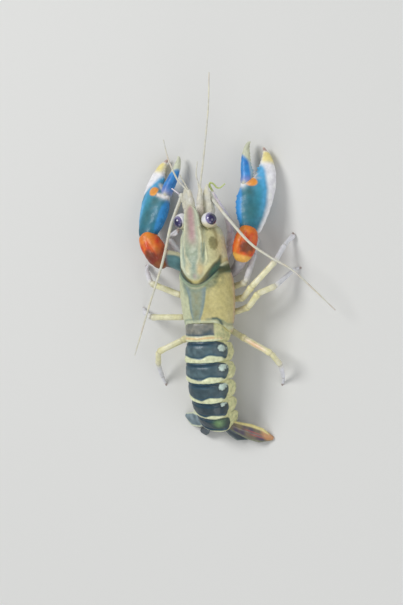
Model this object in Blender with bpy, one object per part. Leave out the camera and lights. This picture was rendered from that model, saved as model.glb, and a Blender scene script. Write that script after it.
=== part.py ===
"""A freshwater crayfish of the Cherax kind, a still model in life size, standing on the floor.

Lengths in this file are millimetres, turned into metres where a mesh or curve is made.
+Y is forward, +X is the animal's right, +Z is up, and the floor is z = 0.
"""
import math

import bmesh
import bpy
from mathutils import Vector

# Scale and clearances
MM = 0.001
GAP = 0.3
WELD = 0.00001
TINY_VOLUME = 1e-9

# The middle of the model's plan, which becomes the origin
CENTRE_X = 8.55
CENTRE_Y = 27.28

# Carapace: y along the body, half width, crown height, underside height
WAIST_Z = 17.0
CARAPACE_SIDES = 32
CARAPACE = (
    (0.0, 10.2, 28.5, 13.6),
    (3.0, 11.0, 29.6, 12.4),
    (8.0, 11.6, 30.6, 11.6),
    (14.0, 11.8, 31.0, 11.4),
    (18.0, 11.6, 31.1, 11.4),
    (22.0, 11.1, 31.0, 11.4),
    (27.0, 10.2, 30.4, 11.6),
    (32.0, 9.7, 29.6, 12.0),
    (36.0, 9.4, 28.8, 12.8),
    (39.0, 8.9, 28.0, 14.2),
    (41.5, 7.5, 27.2, 16.0),
)
CROWN_POWER = 2.2
BELLY_POWER = 2.6
REAR_LOBE = 4.5
REAR_LOBE_REACH = 12.0
REAR_LOBE_POWER = 8
REAR_HOLLOW = 1.2
REAR_HOLLOW_RISE = 3.0

# The carapace's middle line: y along the body, and how far it leans to the right
LEAN = ((0.0, 0.5), (10.0, 0.5), (18.0, 0.2), (24.0, -0.5), (32.0, -0.7), (40.0, -1.0), (46.0, -1.25),
        (52.0, -1.5))

# Rostrum: y, half width, height of its margins, thickness, depth of its trough
ROSTRUM = (
    (30.0, 4.0, 29.8, 4.5, 0.3),
    (36.0, 4.4, 29.9, 3.8, 0.7),
    (41.0, 3.9, 29.9, 3.0, 1.0),
    (45.0, 3.5, 29.9, 2.6, 1.1),
    (48.6, 2.8, 29.9, 2.2, 0.9),
    (50.6, 1.5, 30.1, 1.6, 0.3),
    (52.0, 0.5, 30.5, 1.0, -0.1),
)

# The same section's outline, as shares of the half width and of the trough's depth or the thickness
ROSTRUM_RIM = 0.15
ROSTRUM_TOP = ((1.0, 0.0), (0.8, ROSTRUM_RIM), (0.45, -0.7), (0.0, -1.0), (-0.45, -0.7), (-0.8, ROSTRUM_RIM),
               (-1.0, 0.0))
ROSTRUM_UNDER = ((-1.0, 0.5), (-0.55, 0.9), (0.0, 1.0), (0.55, 0.9), (1.0, 0.5))

# Keels of the head: x from the middle line and y, each from front to back
KEELS = (
    ((3.0, 41.3), (3.4, 38.8), (3.4, 35.2), (2.8, 32.0), (2.7, 28.1), (1.8, 25.3)),
    ((4.2, 40.6), (4.3, 37.0), (4.7, 34.3), (5.3, 30.9), (5.6, 27.1), (4.7, 25.3)),
    ((-3.9, 40.5), (-4.6, 34.6), (-4.4, 30.1), (-3.2, 27.2), (-1.7, 25.0)),
    ((-7.4, 38.6), (-7.8, 34.7), (-6.8, 25.7), (-4.8, 22.8), (-2.4, 20.6)),
)
KEEL_RADII = (0.28, 0.55, 0.55, 0.38)
KEEL_LIFT = 0.05
GROOVE_RADII = (0.7, 1.0, 1.0, 0.7)
GROOVE_Y = 16.7
GROOVE_BEND = 0.08
GROOVE_REACH = 11.0
GROOVE_OVERHANG = 1.06
GROOVE_LIFT = 0.35
GROOVE_POINTS = 17

# Head front and underside
FACE = ((41.8, 7.1, 26.0, 14.4), (44.0, 6.6, 25.4, 14.6), (46.6, 5.6, 24.9, 15.6))
FACE_WAIST = 19.5
STERNUM = ((0.8, 3.0, 8.8), (8.0, 3.4, 8.1), (18.0, 3.5, 7.9), (26.8, 3.2, 8.2))
STERNUM_TOP = 14.5
MOUTH = ((27.1, 2.6, 8.6), (33.0, 3.0, 8.4), (38.0, 3.6, 9.0), (41.4, 3.0, 10.6))
MOUTH_TOP = 17.5

# Eyes
STALK_RADIUS = 3.35
STALK_ROOT_RADII = (1.6, 1.9)
CORNEA_RADIUS = 2.7
CORNEA_REACH = 1.3
EYES = {
    "right": dict(root=(3.6, 43.6, 23.6), centre=(5.7, 44.5, 26.5), aim=(0.79, 0.24, 0.56)),
    "left": dict(root=(-5.2, 43.6, 23.6), centre=(-6.9, 44.6, 26.5), aim=(-0.5, -0.2, 0.84)),
}

# Abdomen: the crown of each ring's rear edge, its pitch and roll, half width and crown height
ABDOMEN = (
    ((0.0, 2.5, 28.0), 1.0, 0.0, 9.4, 8.0),
    ((0.0, -8.0, 28.0), 3.0, 0.0, 9.6, 8.0),
    ((-0.8, -17.4, 27.0), 10.0, 3.0, 10.6, 7.9),
    ((-1.8, -26.5, 25.0), 20.0, 8.0, 10.4, 7.6),
    ((-2.8, -35.2, 21.6), 31.0, 13.0, 9.9, 7.0),
    ((-3.6, -41.9, 16.6), 42.0, 17.0, 9.2, 6.2),
    ((-3.7, -47.4, 11.0), 50.0, 20.0, 8.3, 5.0),
)
RING_DEPTH = 5.2
RING_WIDTH = 0.97
RING_POWER = 2.2
RING_FRONT = 0.92
RING_REAR = 0.985
RING_SHARES = ((0.14, 0.965), (0.35, 0.99), (0.65, 1.0), (0.88, 1.0))

# Side lobes: where they hang along the ring, how far down, how much of its length, and their outline
PLEURON_PLACE = 0.55
PLEURON_ROOT = (1.4, 1.5)
PLEURON_TIP = 0.8
PLEURON_SWEEP = 0.12
PLEURON_DROP = 5.8
FIRST_DROP = 0.85
PLEURON_FILL = 1.0
PLEURON_STEPS = (0.0, 0.35, 0.7, 0.92, 1.0)
PLEURON_SHARES = (0.95, 1.0, 1.0, 0.86, 0.45)
PLEURON_HALF_THICK = 0.8

# Swimmerets: the rings that have them, their place, their reach down, back and out, and their outline
SWIMMERET_RINGS = (2, 3, 4)
SWIMMERET_PLACE = 0.45
SWIMMERET_SINK = 1.0
SWIMMERET_REACH = (5.0, 2.0, 0.8)
SWIMMERET_HALF_WIDTHS = (0.9, 1.3, 0.6)
SWIMMERET_HALF_THICK = 0.5

# Tail fan: the spine of each blade, its half widths, and the direction across it
FAN_HALF_THICK = 0.5
FAN = {
    "telson": (
        ((-2.0, -43.4, 8.4), (-2.0, -45.2, 6.4), (-1.9, -45.2, 4.0), (-1.8, -43.6, 1.8), (-1.7, -41.2, 0.4)),
        (3.4, 3.9, 3.9, 3.5, 2.6), (1.0, 0.0, 0.12),
    ),
    "uropod_outer_right": (
        ((3.4, -43.8, 9.8), (6.8, -45.8, 8.4), (12.0, -48.2, 5.8), (17.0, -50.3, 3.2), (21.3, -51.8, 0.35)),
        (1.6, 2.6, 3.6, 3.3, 0.9), (-0.42, -0.90, 0.05),
    ),
    "uropod_inner_right": (
        ((1.8, -44.2, 9.0), (3.6, -46.8, 6.8), (6.4, -49.2, 4.2), (9.8, -51.2, 0.3)),
        (1.4, 2.4, 3.0, 1.0), (-0.42, -0.90, 0.05),
    ),
    "uropod_outer_left": (
        ((-7.2, -41.8, 7.0), (-11.0, -43.0, 5.0), (-15.5, -42.2, 2.9), (-19.8, -40.6, 0.35)),
        (1.6, 2.8, 3.3, 1.0), (-0.25, -0.95, -0.15),
    ),
    "uropod_inner_left": (
        ((-5.4, -42.4, 7.6), (-7.0, -45.6, 5.0), (-9.6, -47.0, 2.8), (-12.8, -47.6, 0.35)),
        (1.4, 2.4, 2.9, 1.0), (-0.1, -0.99, 0.0),
    ),
}

# Claw, seen along its axis: distance from the wrist, inner edge, outer edge, thickness
PALM = (
    (0.0, -3.4, 3.9, 5.6),
    (4.0, -5.0, 5.9, 7.2),
    (8.0, -6.4, 7.3, 8.2),
    (13.0, -7.0, 8.5, 8.5),
    (18.0, -6.2, 9.3, 8.0),
    (21.0, -5.0, 9.6, 7.4),
    (24.4, -0.1, 9.5, 6.4),
    (28.0, 1.4, 9.0, 5.2),
    (32.0, 2.4, 7.7, 3.8),
    (35.0, 2.9, 6.1, 2.6),
    (38.2, 2.5, 3.2, 0.9),
)
DACTYL = (
    (20.0, -5.2, -1.6, 4.2),
    (22.5, -5.8, -0.5, 5.2),
    (25.0, -5.9, -0.6, 5.2),
    (28.0, -6.2, -1.3, 4.8),
    (32.0, -6.3, -2.3, 4.0),
    (35.0, -6.1, -2.8, 3.2),
    (38.0, -5.4, -3.2, 2.2),
    (40.3, -4.2, -2.6, 0.9),
)
CLAW_POWER = 2.2
CLAW_SIDES = 20
CLAW_PITCH = 13.5
CARPUS = ((0.0, 2.6), (2.4, 4.2), (6.0, 5.0), (10.0, 4.9), (13.0, 4.1), (15.0, 2.8))
CARPUS_FLATTEN = 0.88
CARPUS_SIDES = 16
CARPUS_POWER = 2.3

# Arms: wrist, the claw's heading, roll and scale, ends of the carpus, and the arm's route with its radii
ARMS = {
    "right": dict(
        side=1, wrist=(19.1, 38.6, 13.0), heading=1.9, roll=18.5, scale=1.01,
        carpus=((15.0, 26.6, 14.6), (19.6, 41.0, 14.2)),
        route=((2.8, 20.5, 9.2), (8.0, 21.0, 9.2), (12.6, 24.8, 11.0), (16.0, 29.8, 14.4)),
        radii=(2.1, 2.1, 2.5, 2.9),
    ),
    "left": dict(
        side=-1, wrist=(-30.3, 38.2, 12.0), heading=16.1, roll=22.0, scale=0.96,
        carpus=((-21.8, 25.8, 13.2), (-30.8, 39.8, 13.0)),
        route=((-2.8, 20.5, 9.2), (-8.6, 22.0, 9.4), (-15.6, 27.2, 11.0), (-21.8, 29.2, 12.4)),
        radii=(2.1, 2.5, 3.8, 3.7),
    ),
}

# Walking legs: the route from the sternum to the tip, and the index of the knee in it
LEGS = {
    "leg_2_right": (((2.8, 14.5, 9.3), (10.3, 15.7, 9.3), (16.2, 17.0, 13.0),
                     (18.0, 29.0, 6.0), (16.6, 36.6, -0.3)), 2),
    "leg_3_right": (((2.8, 10.0, 9.3), (10.1, 10.0, 9.4), (14.4, 10.2, 12.0), (19.9, 15.0, 15.0),
                     (30.1, 25.6, 12.0), (32.3, 32.4, 6.0), (34.2, 37.6, -0.3)), 4),
    "leg_4_right": (((2.8, 5.5, 9.3), (10.1, 4.4, 9.4), (17.2, 6.2, 13.0), (23.1, 11.9, 16.0),
                     (29.2, 14.8, 11.0), (35.2, 22.2, 2.0), (37.2, 22.4, -0.3)), 3),
    "leg_5_right": (((2.8, 1.4, 9.6), (6.8, -3.4, 9.8), (14.8, -7.7, 12.0), (27.4, -14.4, 14.0),
                     (29.4, -19.4, 9.0), (28.2, -25.0, 2.8), (26.4, -28.4, -0.3)), 3),
    "leg_2_left": (((-2.8, 14.5, 9.3), (-9.5, 15.6, 9.0), (-13.0, 19.0, 7.6), (-15.0, 26.5, 3.6),
                    (-21.7, 38.2, 8.0), (-15.9, 41.7, 9.8)), 3),
    "leg_3_left": (((-2.8, 10.0, 9.3), (-10.1, 10.6, 9.4), (-15.0, 12.6, 13.0), (-27.9, 18.2, 15.0),
                    (-33.0, 23.0, 7.0), (-36.5, 26.0, -0.3)), 3),
    "leg_4_left": (((-2.8, 5.5, 9.3), (-10.1, 3.8, 9.4), (-14.4, 2.8, 12.5), (-28.5, 3.3, 15.0),
                    (-34.5, 5.5, 8.0), (-38.5, 7.5, -0.3)), 3),
    "leg_5_left": (((-2.8, 1.4, 9.6), (-7.0, -3.4, 9.8), (-15.4, -7.4, 12.0), (-26.0, -12.0, 14.0),
                    (-28.5, -17.5, 9.0), (-29.4, -23.0, 3.2), (-29.0, -27.0, -0.3)), 3),
}
LEG_RADII = (1.5, 1.4, 1.35, 1.35, 1.3, 1.15, 0.9, 0.5)
PINCER_LEGS = ("leg_2_right", "leg_3_right", "leg_2_left", "leg_3_left")
PINCER_LENGTH = 5.0
PINCER_RADII = (0.7, 0.6, 0.3)
PINCER_BOW = 1.3
PINCER_OPEN = (0.9, 0.8)
KNEE_STRAIGHT = 0.8
KNEE_REACH = 1.9
CORNER = 0.9

# Third jaw legs, reaching forward under the head to a thin palp
MAXILLIPEDS = {
    "maxilliped_right": ((2.6, 25.0, 9.3), (5.6, 28.5, 8.2), (7.2, 33.0, 7.3), (7.8, 40.0, 7.2),
                         (7.2, 46.0, 9.0), (4.6, 53.5, 13.6), (2.4, 60.6, 17.6), (4.3, 61.2, 18.2),
                         (6.9, 57.8, 17.4), (9.9, 60.1, 17.0)),
    "maxilliped_left": ((-2.6, 25.0, 9.3), (-5.6, 28.5, 8.2), (-6.8, 33.0, 7.3), (-7.2, 40.0, 7.2),
                        (-7.4, 46.0, 9.6), (-9.0, 52.5, 15.0), (-11.2, 56.6, 18.2), (-14.4, 59.2, 18.9)),
}
MAXILLIPED_RADII = (1.6, 1.7, 1.7, 1.6, 1.2, 0.8, 0.6, 0.5, 0.4, 0.3)

# Feelers: peduncle and whip routes of the antennae
ANTENNA_BASES = {
    "antenna_base_right": ((3.4, 45.8, 19.4), (3.6, 49.0, 19.5), (3.9, 53.0, 19.8), (3.4, 56.2, 20.2)),
    "antenna_base_left": ((-5.8, 45.8, 19.4), (-6.6, 49.0, 19.5), (-7.8, 52.8, 19.8), (-9.3, 55.8, 20.2)),
}
ANTENNA_BASE_RADII = (2.1, 2.1, 1.8, 1.4)
ANTENNA_WHIPS = {
    "antenna_whip_right": ((3.4, 55.7, 20.2), (8.2, 50.3, 21.2), (12.6, 45.2, 22.0), (22.9, 33.8, 22.5),
                           (31.8, 27.0, 20.8), (41.3, 20.3, 17.5), (55.8, 3.5, 9.0)),
    "antenna_whip_left": ((-9.3, 55.8, 20.2), (-12.5, 46.6, 22.5), (-14.2, 41.8, 23.0), (-18.9, 27.1, 22.0),
                          (-27.0, 10.0, 18.5), (-33.0, -4.0, 16.5), (-37.0, -13.0, 15.0)),
}
WHIP_RADII = (0.85, 0.7, 0.6, 0.5, 0.4, 0.26)
SCALES = {
    "antennal_scale_right": (
        ((3.4, 46.2, 22.0), (3.4, 49.5, 22.0), (3.0, 53.0, 22.0), (3.6, 57.6, 22.6), (4.1, 60.2, 23.0)),
        (1.8, 2.1, 2.1, 1.6, 0.5),
    ),
    "antennal_scale_left": (
        ((-5.0, 46.2, 22.0), (-5.4, 49.5, 22.0), (-5.8, 53.2, 22.0), (-6.0, 56.4, 22.2), (-5.8, 58.4, 22.4)),
        (1.7, 1.8, 1.9, 2.0, 1.5),
    ),
}
SCALE_HALF_THICK = 0.4
ANTENNULES = {
    "antennule_right": (
        ((0.6, 46.0, 23.4), (0.6, 50.0, 23.8), (0.7, 54.0, 23.8), (1.0, 57.8, 23.6)),
        (((1.1, 57.0, 23.6), (1.2, 60.0, 23.9), (3.8, 69.6, 26.0), (8.4, 91.9, 29.0), (9.5, 107.9, 29.0)),
         ((1.1, 57.0, 23.6), (0.4, 60.5, 24.2), (0.0, 64.5, 25.2), (1.1, 69.9, 26.0))),
    ),
    "antennule_left": (
        ((-3.0, 46.0, 23.4), (-3.1, 50.0, 23.8), (-3.4, 54.0, 24.1), (-4.0, 57.4, 24.2)),
        (((-4.0, 56.8, 24.2), (-6.4, 59.6, 24.5), (-8.8, 63.1, 26.0), (-12.0, 72.0, 27.4),
          (-13.6, 80.0, 28.0)),
         ((-4.0, 56.8, 24.2), (-6.0, 60.2, 23.4), (-8.4, 64.8, 23.6))),
    ),
}
PEDUNCLE_RADII = (1.5, 1.6, 1.4, 0.9)
FLAGELLUM_RADII = (0.5, 0.27)
FLAGELLUM_STEP = 3.5

# The floor's cutter, in metres
FLOOR_SIZE = 0.4
FLOOR_DEPTH = 0.04

# Colour, roughness
SHELL = ((0.48, 0.45, 0.19), 0.35)
PALE = ((0.62, 0.62, 0.38), 0.4)
SLATE = ((0.05, 0.11, 0.13), 0.35)
BLUE = ((0.03, 0.22, 0.32), 0.3)
ORANGE = ((0.75, 0.16, 0.03), 0.35)
LEG = ((0.55, 0.55, 0.42), 0.4)
FEELER = ((0.66, 0.64, 0.50), 0.45)
EYE = ((0.012, 0.010, 0.03), 0.08)
STALK = ((0.68, 0.64, 0.62), 0.35)
FAN_TONE = ((0.35, 0.26, 0.18), 0.4)


def clear_scene():
    for old in list(bpy.data.objects):
        bpy.data.objects.remove(old)


def collection(name):
    group = bpy.data.collections.new(name)
    bpy.context.scene.collection.children.link(group)
    return group


clear_scene()
PARTS = collection("crayfish")
CUTTERS = collection("cutters")
JOINING = collection("joining")


def place(point):
    """A point in body millimetres, as metres about the model's own origin."""
    return Vector((point[0] - CENTRE_X, point[1] - CENTRE_Y, point[2])) * MM


def link(obj, group):
    for owner in list(obj.users_collection):
        owner.objects.unlink(obj)
    group.objects.link(obj)
    return obj


def finish(obj, name, look):
    """Names a finished solid, gives it its material and files it with the parts."""
    colour, roughness = look
    mat = bpy.data.materials.new(name)
    mat.use_nodes = True
    shader = mat.node_tree.nodes["Principled BSDF"]
    shader.inputs["Base Color"].default_value = (*colour, 1.0)
    shader.inputs["Roughness"].default_value = roughness
    shader.inputs["Metallic"].default_value = 0.0
    obj.name = name
    obj.data.name = name
    obj.data.materials.clear()
    obj.data.materials.append(mat)
    obj.data.shade_smooth()
    obj.data.set_sharp_from_angle(angle=math.radians(40))
    return link(obj, PARTS)


def object_from(bm, name):
    """Makes a mesh object of a bmesh, with its faces pointing out."""
    bmesh.ops.recalc_face_normals(bm, faces=bm.faces)
    mesh = bpy.data.meshes.new(name)
    bm.to_mesh(mesh)
    bm.free()
    obj = bpy.data.objects.new(name, mesh)
    PARTS.objects.link(obj)
    return obj


def loft(rings, start=None, end=None):
    """A closed solid through rings of equal count, each end a fan about a point."""
    bm = bmesh.new()
    loops = [[bm.verts.new(place(p)) for p in ring] for ring in rings]
    count = len(loops[0])
    for near, far in zip(loops, loops[1:]):
        for i in range(count):
            j = (i + 1) % count
            bm.faces.new((near[i], near[j], far[j], far[i]))
    for loop, ring, tip in ((loops[0], rings[0], start), (loops[-1], rings[-1], end)):
        middle = tip or sum(ring, Vector()) / count
        hub = bm.verts.new(place(middle))
        for i in range(count):
            bm.faces.new((loop[i], loop[(i + 1) % count], hub))
    return object_from(bm, "loft")


def power_of(value, power):
    return math.copysign(abs(value) ** (2.0 / power), value)


def section(centre, right, up, half_width, rise, drop, sides, crown=2.0, belly=2.0):
    """A rounded section, fuller than an ellipse where its power is above 2."""
    ring = []
    for i in range(sides):
        turn = 2.0 * math.pi * i / sides
        above = math.sin(turn) >= 0
        power = crown if above else belly
        across = power_of(math.cos(turn), power) * half_width
        height = power_of(math.sin(turn), power) * (rise if above else drop)
        ring.append(centre + right * across + up * height)
    return ring


def smooth(points, steps=6):
    """A Catmull-Rom curve through the points."""
    pts = [Vector(p) for p in points]
    pts = [pts[0] * 2 - pts[1]] + pts + [pts[-1] * 2 - pts[-2]]
    curve = []
    for a, b, c, d in zip(pts, pts[1:], pts[2:], pts[3:]):
        for k in range(steps):
            t = k / steps
            curve.append(0.5 * (2 * b + (c - a) * t + (2 * a - 5 * b + 4 * c - d) * t * t
                                + (3 * b - a - 3 * c + d) * t ** 3))
    return curve + [pts[-2]]


def lengths(curve):
    total = [0.0]
    for a, b in zip(curve, curve[1:]):
        total.append(total[-1] + (b - a).length)
    return total


def at_length(curve, total, s):
    """The point of a curve at length s from its start."""
    s = min(max(s, 0.0), total[-1])
    for i in range(len(total) - 1):
        if s <= total[i + 1]:
            span = total[i + 1] - total[i]
            return curve[i].lerp(curve[i + 1], (s - total[i]) / span)
    return curve[-1]


def stretch(curve, start, end, count):
    """Evenly spaced points between two lengths along a curve."""
    total = lengths(curve)
    return [at_length(curve, total, start + (end - start) * i / (count - 1)) for i in range(count)]


def spread(values, fraction):
    """A value between evenly spaced ones."""
    place_in = fraction * (len(values) - 1)
    i = min(int(place_in), len(values) - 2)
    return values[i] + (values[i + 1] - values[i]) * (place_in - i)


def tube(points, radii, resolution=2):
    """A round tube with filled ends, its radius read from evenly spaced values."""
    data = bpy.data.curves.new("tube", "CURVE")
    data.dimensions = "3D"
    data.bevel_depth = MM
    data.bevel_resolution = resolution
    data.use_fill_caps = True
    spline = data.splines.new("POLY")
    spline.points.add(len(points) - 1)
    for i, point in enumerate(points):
        spline.points[i].co = (*place(point), 1.0)
        spline.points[i].radius = spread(radii, i / (len(points) - 1))
    curve = bpy.data.objects.new("tube", data)
    PARTS.objects.link(curve)
    graph = bpy.context.evaluated_depsgraph_get()
    mesh = bpy.data.meshes.new_from_object(curve.evaluated_get(graph))
    bm = bmesh.new()
    bm.from_mesh(mesh)
    bmesh.ops.remove_doubles(bm, verts=bm.verts, dist=WELD)
    obj = object_from(bm, "tube")
    obj.matrix_world = curve.matrix_world
    bpy.data.objects.remove(curve)
    return obj


def blade(points, half_widths, half_thick, across, sides=10):
    """A thin leaf along a spine, its edges rounded."""
    rings = []
    for i, point in enumerate(points):
        before = points[max(i - 1, 0)]
        after = points[min(i + 1, len(points) - 1)]
        along = (after - before).normalized()
        side = (across - along * across.dot(along)).normalized()
        face = along.cross(side)
        width = spread(half_widths, i / (len(points) - 1))
        thick = min(half_thick, width)
        rings.append(section(point, side, face, width, thick, thick, sides))
    return loft(rings)


def ball(centre, radius, segments=14, rings=8):
    bm = bmesh.new()
    bmesh.ops.create_uvsphere(bm, u_segments=segments, v_segments=rings, radius=radius * MM)
    bmesh.ops.translate(bm, verts=bm.verts, vec=place(centre))
    return object_from(bm, "ball")


def bake(obj):
    """Turns an object's modifiers into its mesh."""
    graph = bpy.context.evaluated_depsgraph_get()
    mesh = bpy.data.meshes.new_from_object(obj.evaluated_get(graph))
    obj.modifiers.clear()
    obj.data = mesh
    return obj


def largest(obj):
    """Keeps only the largest closed surface of a mesh."""
    bm = bmesh.new()
    bm.from_mesh(obj.data)
    left = set(bm.verts)
    islands = []
    while left:
        island = {left.pop()}
        edge = list(island)
        while edge:
            vert = edge.pop()
            for e in vert.link_edges:
                other = e.other_vert(vert)
                if other in left:
                    left.remove(other)
                    island.add(other)
                    edge.append(other)
        islands.append(island)
    islands.sort(key=len, reverse=True)
    for island in islands[1:]:
        bmesh.ops.delete(bm, geom=list(island), context="VERTS")
    bm.to_mesh(obj.data)
    bm.free()
    return obj


def closed(mesh):
    """Whether a mesh is one or more closed surfaces with some volume."""
    bm = bmesh.new()
    bm.from_mesh(mesh)
    whole = all(edge.is_manifold for edge in bm.edges) and bm.calc_volume() > TINY_VOLUME
    bm.free()
    return whole


def welded(mesh):
    """A copy of a mesh whose points closer than the weld distance are one."""
    bm = bmesh.new()
    bm.from_mesh(mesh)
    bmesh.ops.remove_doubles(bm, verts=bm.verts, dist=WELD)
    bmesh.ops.dissolve_degenerate(bm, dist=WELD / 2, edges=bm.edges)
    bmesh.ops.triangulate(bm, faces=bm.faces)
    copy = mesh.copy()
    bm.to_mesh(copy)
    bm.free()
    return copy if closed(copy) else mesh


def combine(obj, operation, set_operand):
    """One Boolean step by the exact solver, or by the manifold one where that fails."""
    before = obj.data
    for solver in ("EXACT", "MANIFOLD"):
        obj.data = before
        step = obj.modifiers.new("step", "BOOLEAN")
        step.operation = operation
        set_operand(step)
        step.solver = solver
        bake(obj)
        obj.data = welded(obj.data)
        if closed(obj.data):
            break
    return largest(obj)


def apart(a, b):
    """Whether the boxes of two objects don't meet."""
    for i in range(3):
        spans = [[(o.matrix_world @ Vector(corner))[i] for corner in o.bound_box] for o in (a, b)]
        if max(spans[0]) < min(spans[1]) or max(spans[1]) < min(spans[0]):
            return True
    return False


def fuse(base, pieces):
    """Joins closed solids to a base with one Boolean union."""
    for piece in pieces:
        link(piece, JOINING)

    def operand(step):
        step.operand_type = "COLLECTION"
        step.collection = JOINING

    combine(base, "UNION", operand)
    for piece in pieces:
        bpy.data.objects.remove(piece)
    return base


def cut(obj, *cutters):
    """Cuts an object by each cutter in turn."""
    for saw in cutters:
        if apart(obj, saw):
            continue

        def operand(step):
            step.object = saw

        combine(obj, "DIFFERENCE", operand)
    return obj


def grown(obj, by=GAP):
    """A copy of a solid, larger all round by the gap, which cuts its neighbours clear."""
    copy = bpy.data.objects.new("grown", obj.data.copy())
    PARTS.objects.link(copy)
    swell = copy.modifiers.new("swell", "DISPLACE")
    swell.strength = by * MM
    swell.mid_level = 0.0
    swell.direction = "NORMAL"
    bake(copy)
    return cutter(copy)


def cutter(obj):
    obj.hide_render = True
    obj.display_type = "WIRE"
    return link(obj, CUTTERS)


def floor_cutter():
    """A slab whose top is the floor, which leaves small flats on all that stands on it."""
    bpy.ops.mesh.primitive_cube_add(size=1.0, location=(0, 0, -FLOOR_DEPTH / 2))
    slab = bpy.context.object
    slab.scale = (FLOOR_SIZE, FLOOR_SIZE, FLOOR_DEPTH)
    bpy.context.view_layer.update()
    slab.data.transform(slab.matrix_world)
    slab.matrix_world.identity()
    return cutter(slab)


X = Vector((1.0, 0.0, 0.0))
Z = Vector((0.0, 0.0, 1.0))


def at_station(y, column):
    """A carapace measure at y, between its stations."""
    rows = CARAPACE
    if y <= rows[0][0]:
        return rows[0][column]
    for a, b in zip(rows, rows[1:]):
        if y <= b[0]:
            return a[column] + (b[column] - a[column]) * (y - a[0]) / (b[0] - a[0])
    return rows[-1][column]


def lean(y):
    """How far the carapace's middle line lies to the right at y."""
    if y <= LEAN[0][0]:
        return LEAN[0][1]
    for (near, a), (far, b) in zip(LEAN, LEAN[1:]):
        if y <= far:
            return a + (b - a) * (y - near) / (far - near)
    return LEAN[-1][1]


def carapace_top(x, y):
    """Height of the carapace at a distance x from its middle line."""
    ratio = min(abs(x) / at_station(y, 1), 1.0)
    return WAIST_Z + (at_station(y, 2) - WAIST_Z) * (1 - ratio ** CROWN_POWER) ** (1 / CROWN_POWER)


def shell():
    """The carapace's own surface: a loft whose rear margin sweeps back into two side lobes."""
    rings = []
    for y, half_width, crown, belly in CARAPACE:
        middle = lean(y)
        ring = section(Vector((middle, y, WAIST_Z)), X, Z, half_width, crown - WAIST_Z, WAIST_Z - belly,
                       CARAPACE_SIDES, CROWN_POWER, BELLY_POWER)
        fade = max(0.0, 1.0 - y / REAR_LOBE_REACH)
        for point in ring:
            point.y -= REAR_LOBE * fade * fade * ((point.x - middle) / half_width) ** REAR_LOBE_POWER
        rings.append(ring)
    return loft(rings, start=Vector((lean(0.0), REAR_HOLLOW, WAIST_Z + REAR_HOLLOW_RISE)))


def rostrum():
    rings = []
    for y, half, height, thick, dip in ROSTRUM:
        top = [(u, v * dip if v < 0 else v) for u, v in ROSTRUM_TOP]
        under = [(u, -thick * v) for u, v in ROSTRUM_UNDER]
        rings.append([Vector((lean(y) + half * u, y, height + v)) for u, v in top + under])
    return loft(rings)


def ridge(points):
    """A raised line on the carapace through points given from its middle line."""
    curve = smooth([(x, y, 0) for x, y in points], 4)
    route = [Vector((lean(p.y) + p.x, p.y, carapace_top(p.x, p.y) + KEEL_LIFT)) for p in curve]
    return tube(route, KEEL_RADII, 1)


def groove():
    """The cervical groove, a U across the back and down both sides."""
    route = []
    for i in range(GROOVE_POINTS):
        x = GROOVE_REACH * (2 * i / (GROOVE_POINTS - 1) - 1)
        y = GROOVE_Y + GROOVE_BEND * x * x
        route.append(Vector((lean(y) + x * GROOVE_OVERHANG, y, carapace_top(x, y) + GROOVE_LIFT)))
    return cutter(tube(route, GROOVE_RADII))


def make_carapace():
    body = fuse(shell(), [rostrum()] + [ridge(keel) for keel in KEELS])
    return finish(cut(body, groove()), "carapace", SHELL)


def under_block(stations, top, sides=14):
    """A keel under the body, flat sided, from its half widths and lowest heights."""
    rings = []
    for y, half, low in stations:
        middle = (top + low) / 2
        rings.append(section(Vector((0, y, middle)), X, Z, half, top - middle, middle - low, sides, 4.0, 3.0))
    return loft(rings)


def make_head_and_belly(clear_of_shell, hull):
    rings = [section(Vector((lean(y), y, FACE_WAIST)), X, Z, half, top - FACE_WAIST, FACE_WAIST - low, 20,
                     2.6, 2.4) for y, half, top, low in FACE]
    face = finish(cut(loft(rings), clear_of_shell), "face", PALE)
    sternum = finish(cut(under_block(STERNUM, STERNUM_TOP), hull), "sternum", PALE)
    mouth = cut(under_block(MOUTH, MOUTH_TOP), hull, grown(face), grown(sternum))
    return face, sternum, finish(mouth, "mouthparts", PALE)


def make_eyes(face, clear_of_shell):
    for word, eye in EYES.items():
        root, centre = Vector(eye["root"]), Vector(eye["centre"])
        cornea = ball(centre + Vector(eye["aim"]).normalized() * CORNEA_REACH, CORNEA_RADIUS)
        finish(cornea, "eye_" + word, EYE)
        bulb = ball(centre, STALK_RADIUS)
        fuse(bulb, [tube([root, root.lerp(centre, 0.5), centre], STALK_ROOT_RADII)])
        cut(bulb, grown(cornea), grown(face), clear_of_shell)
        finish(bulb, "eyestalk_" + word, STALK)


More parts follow.
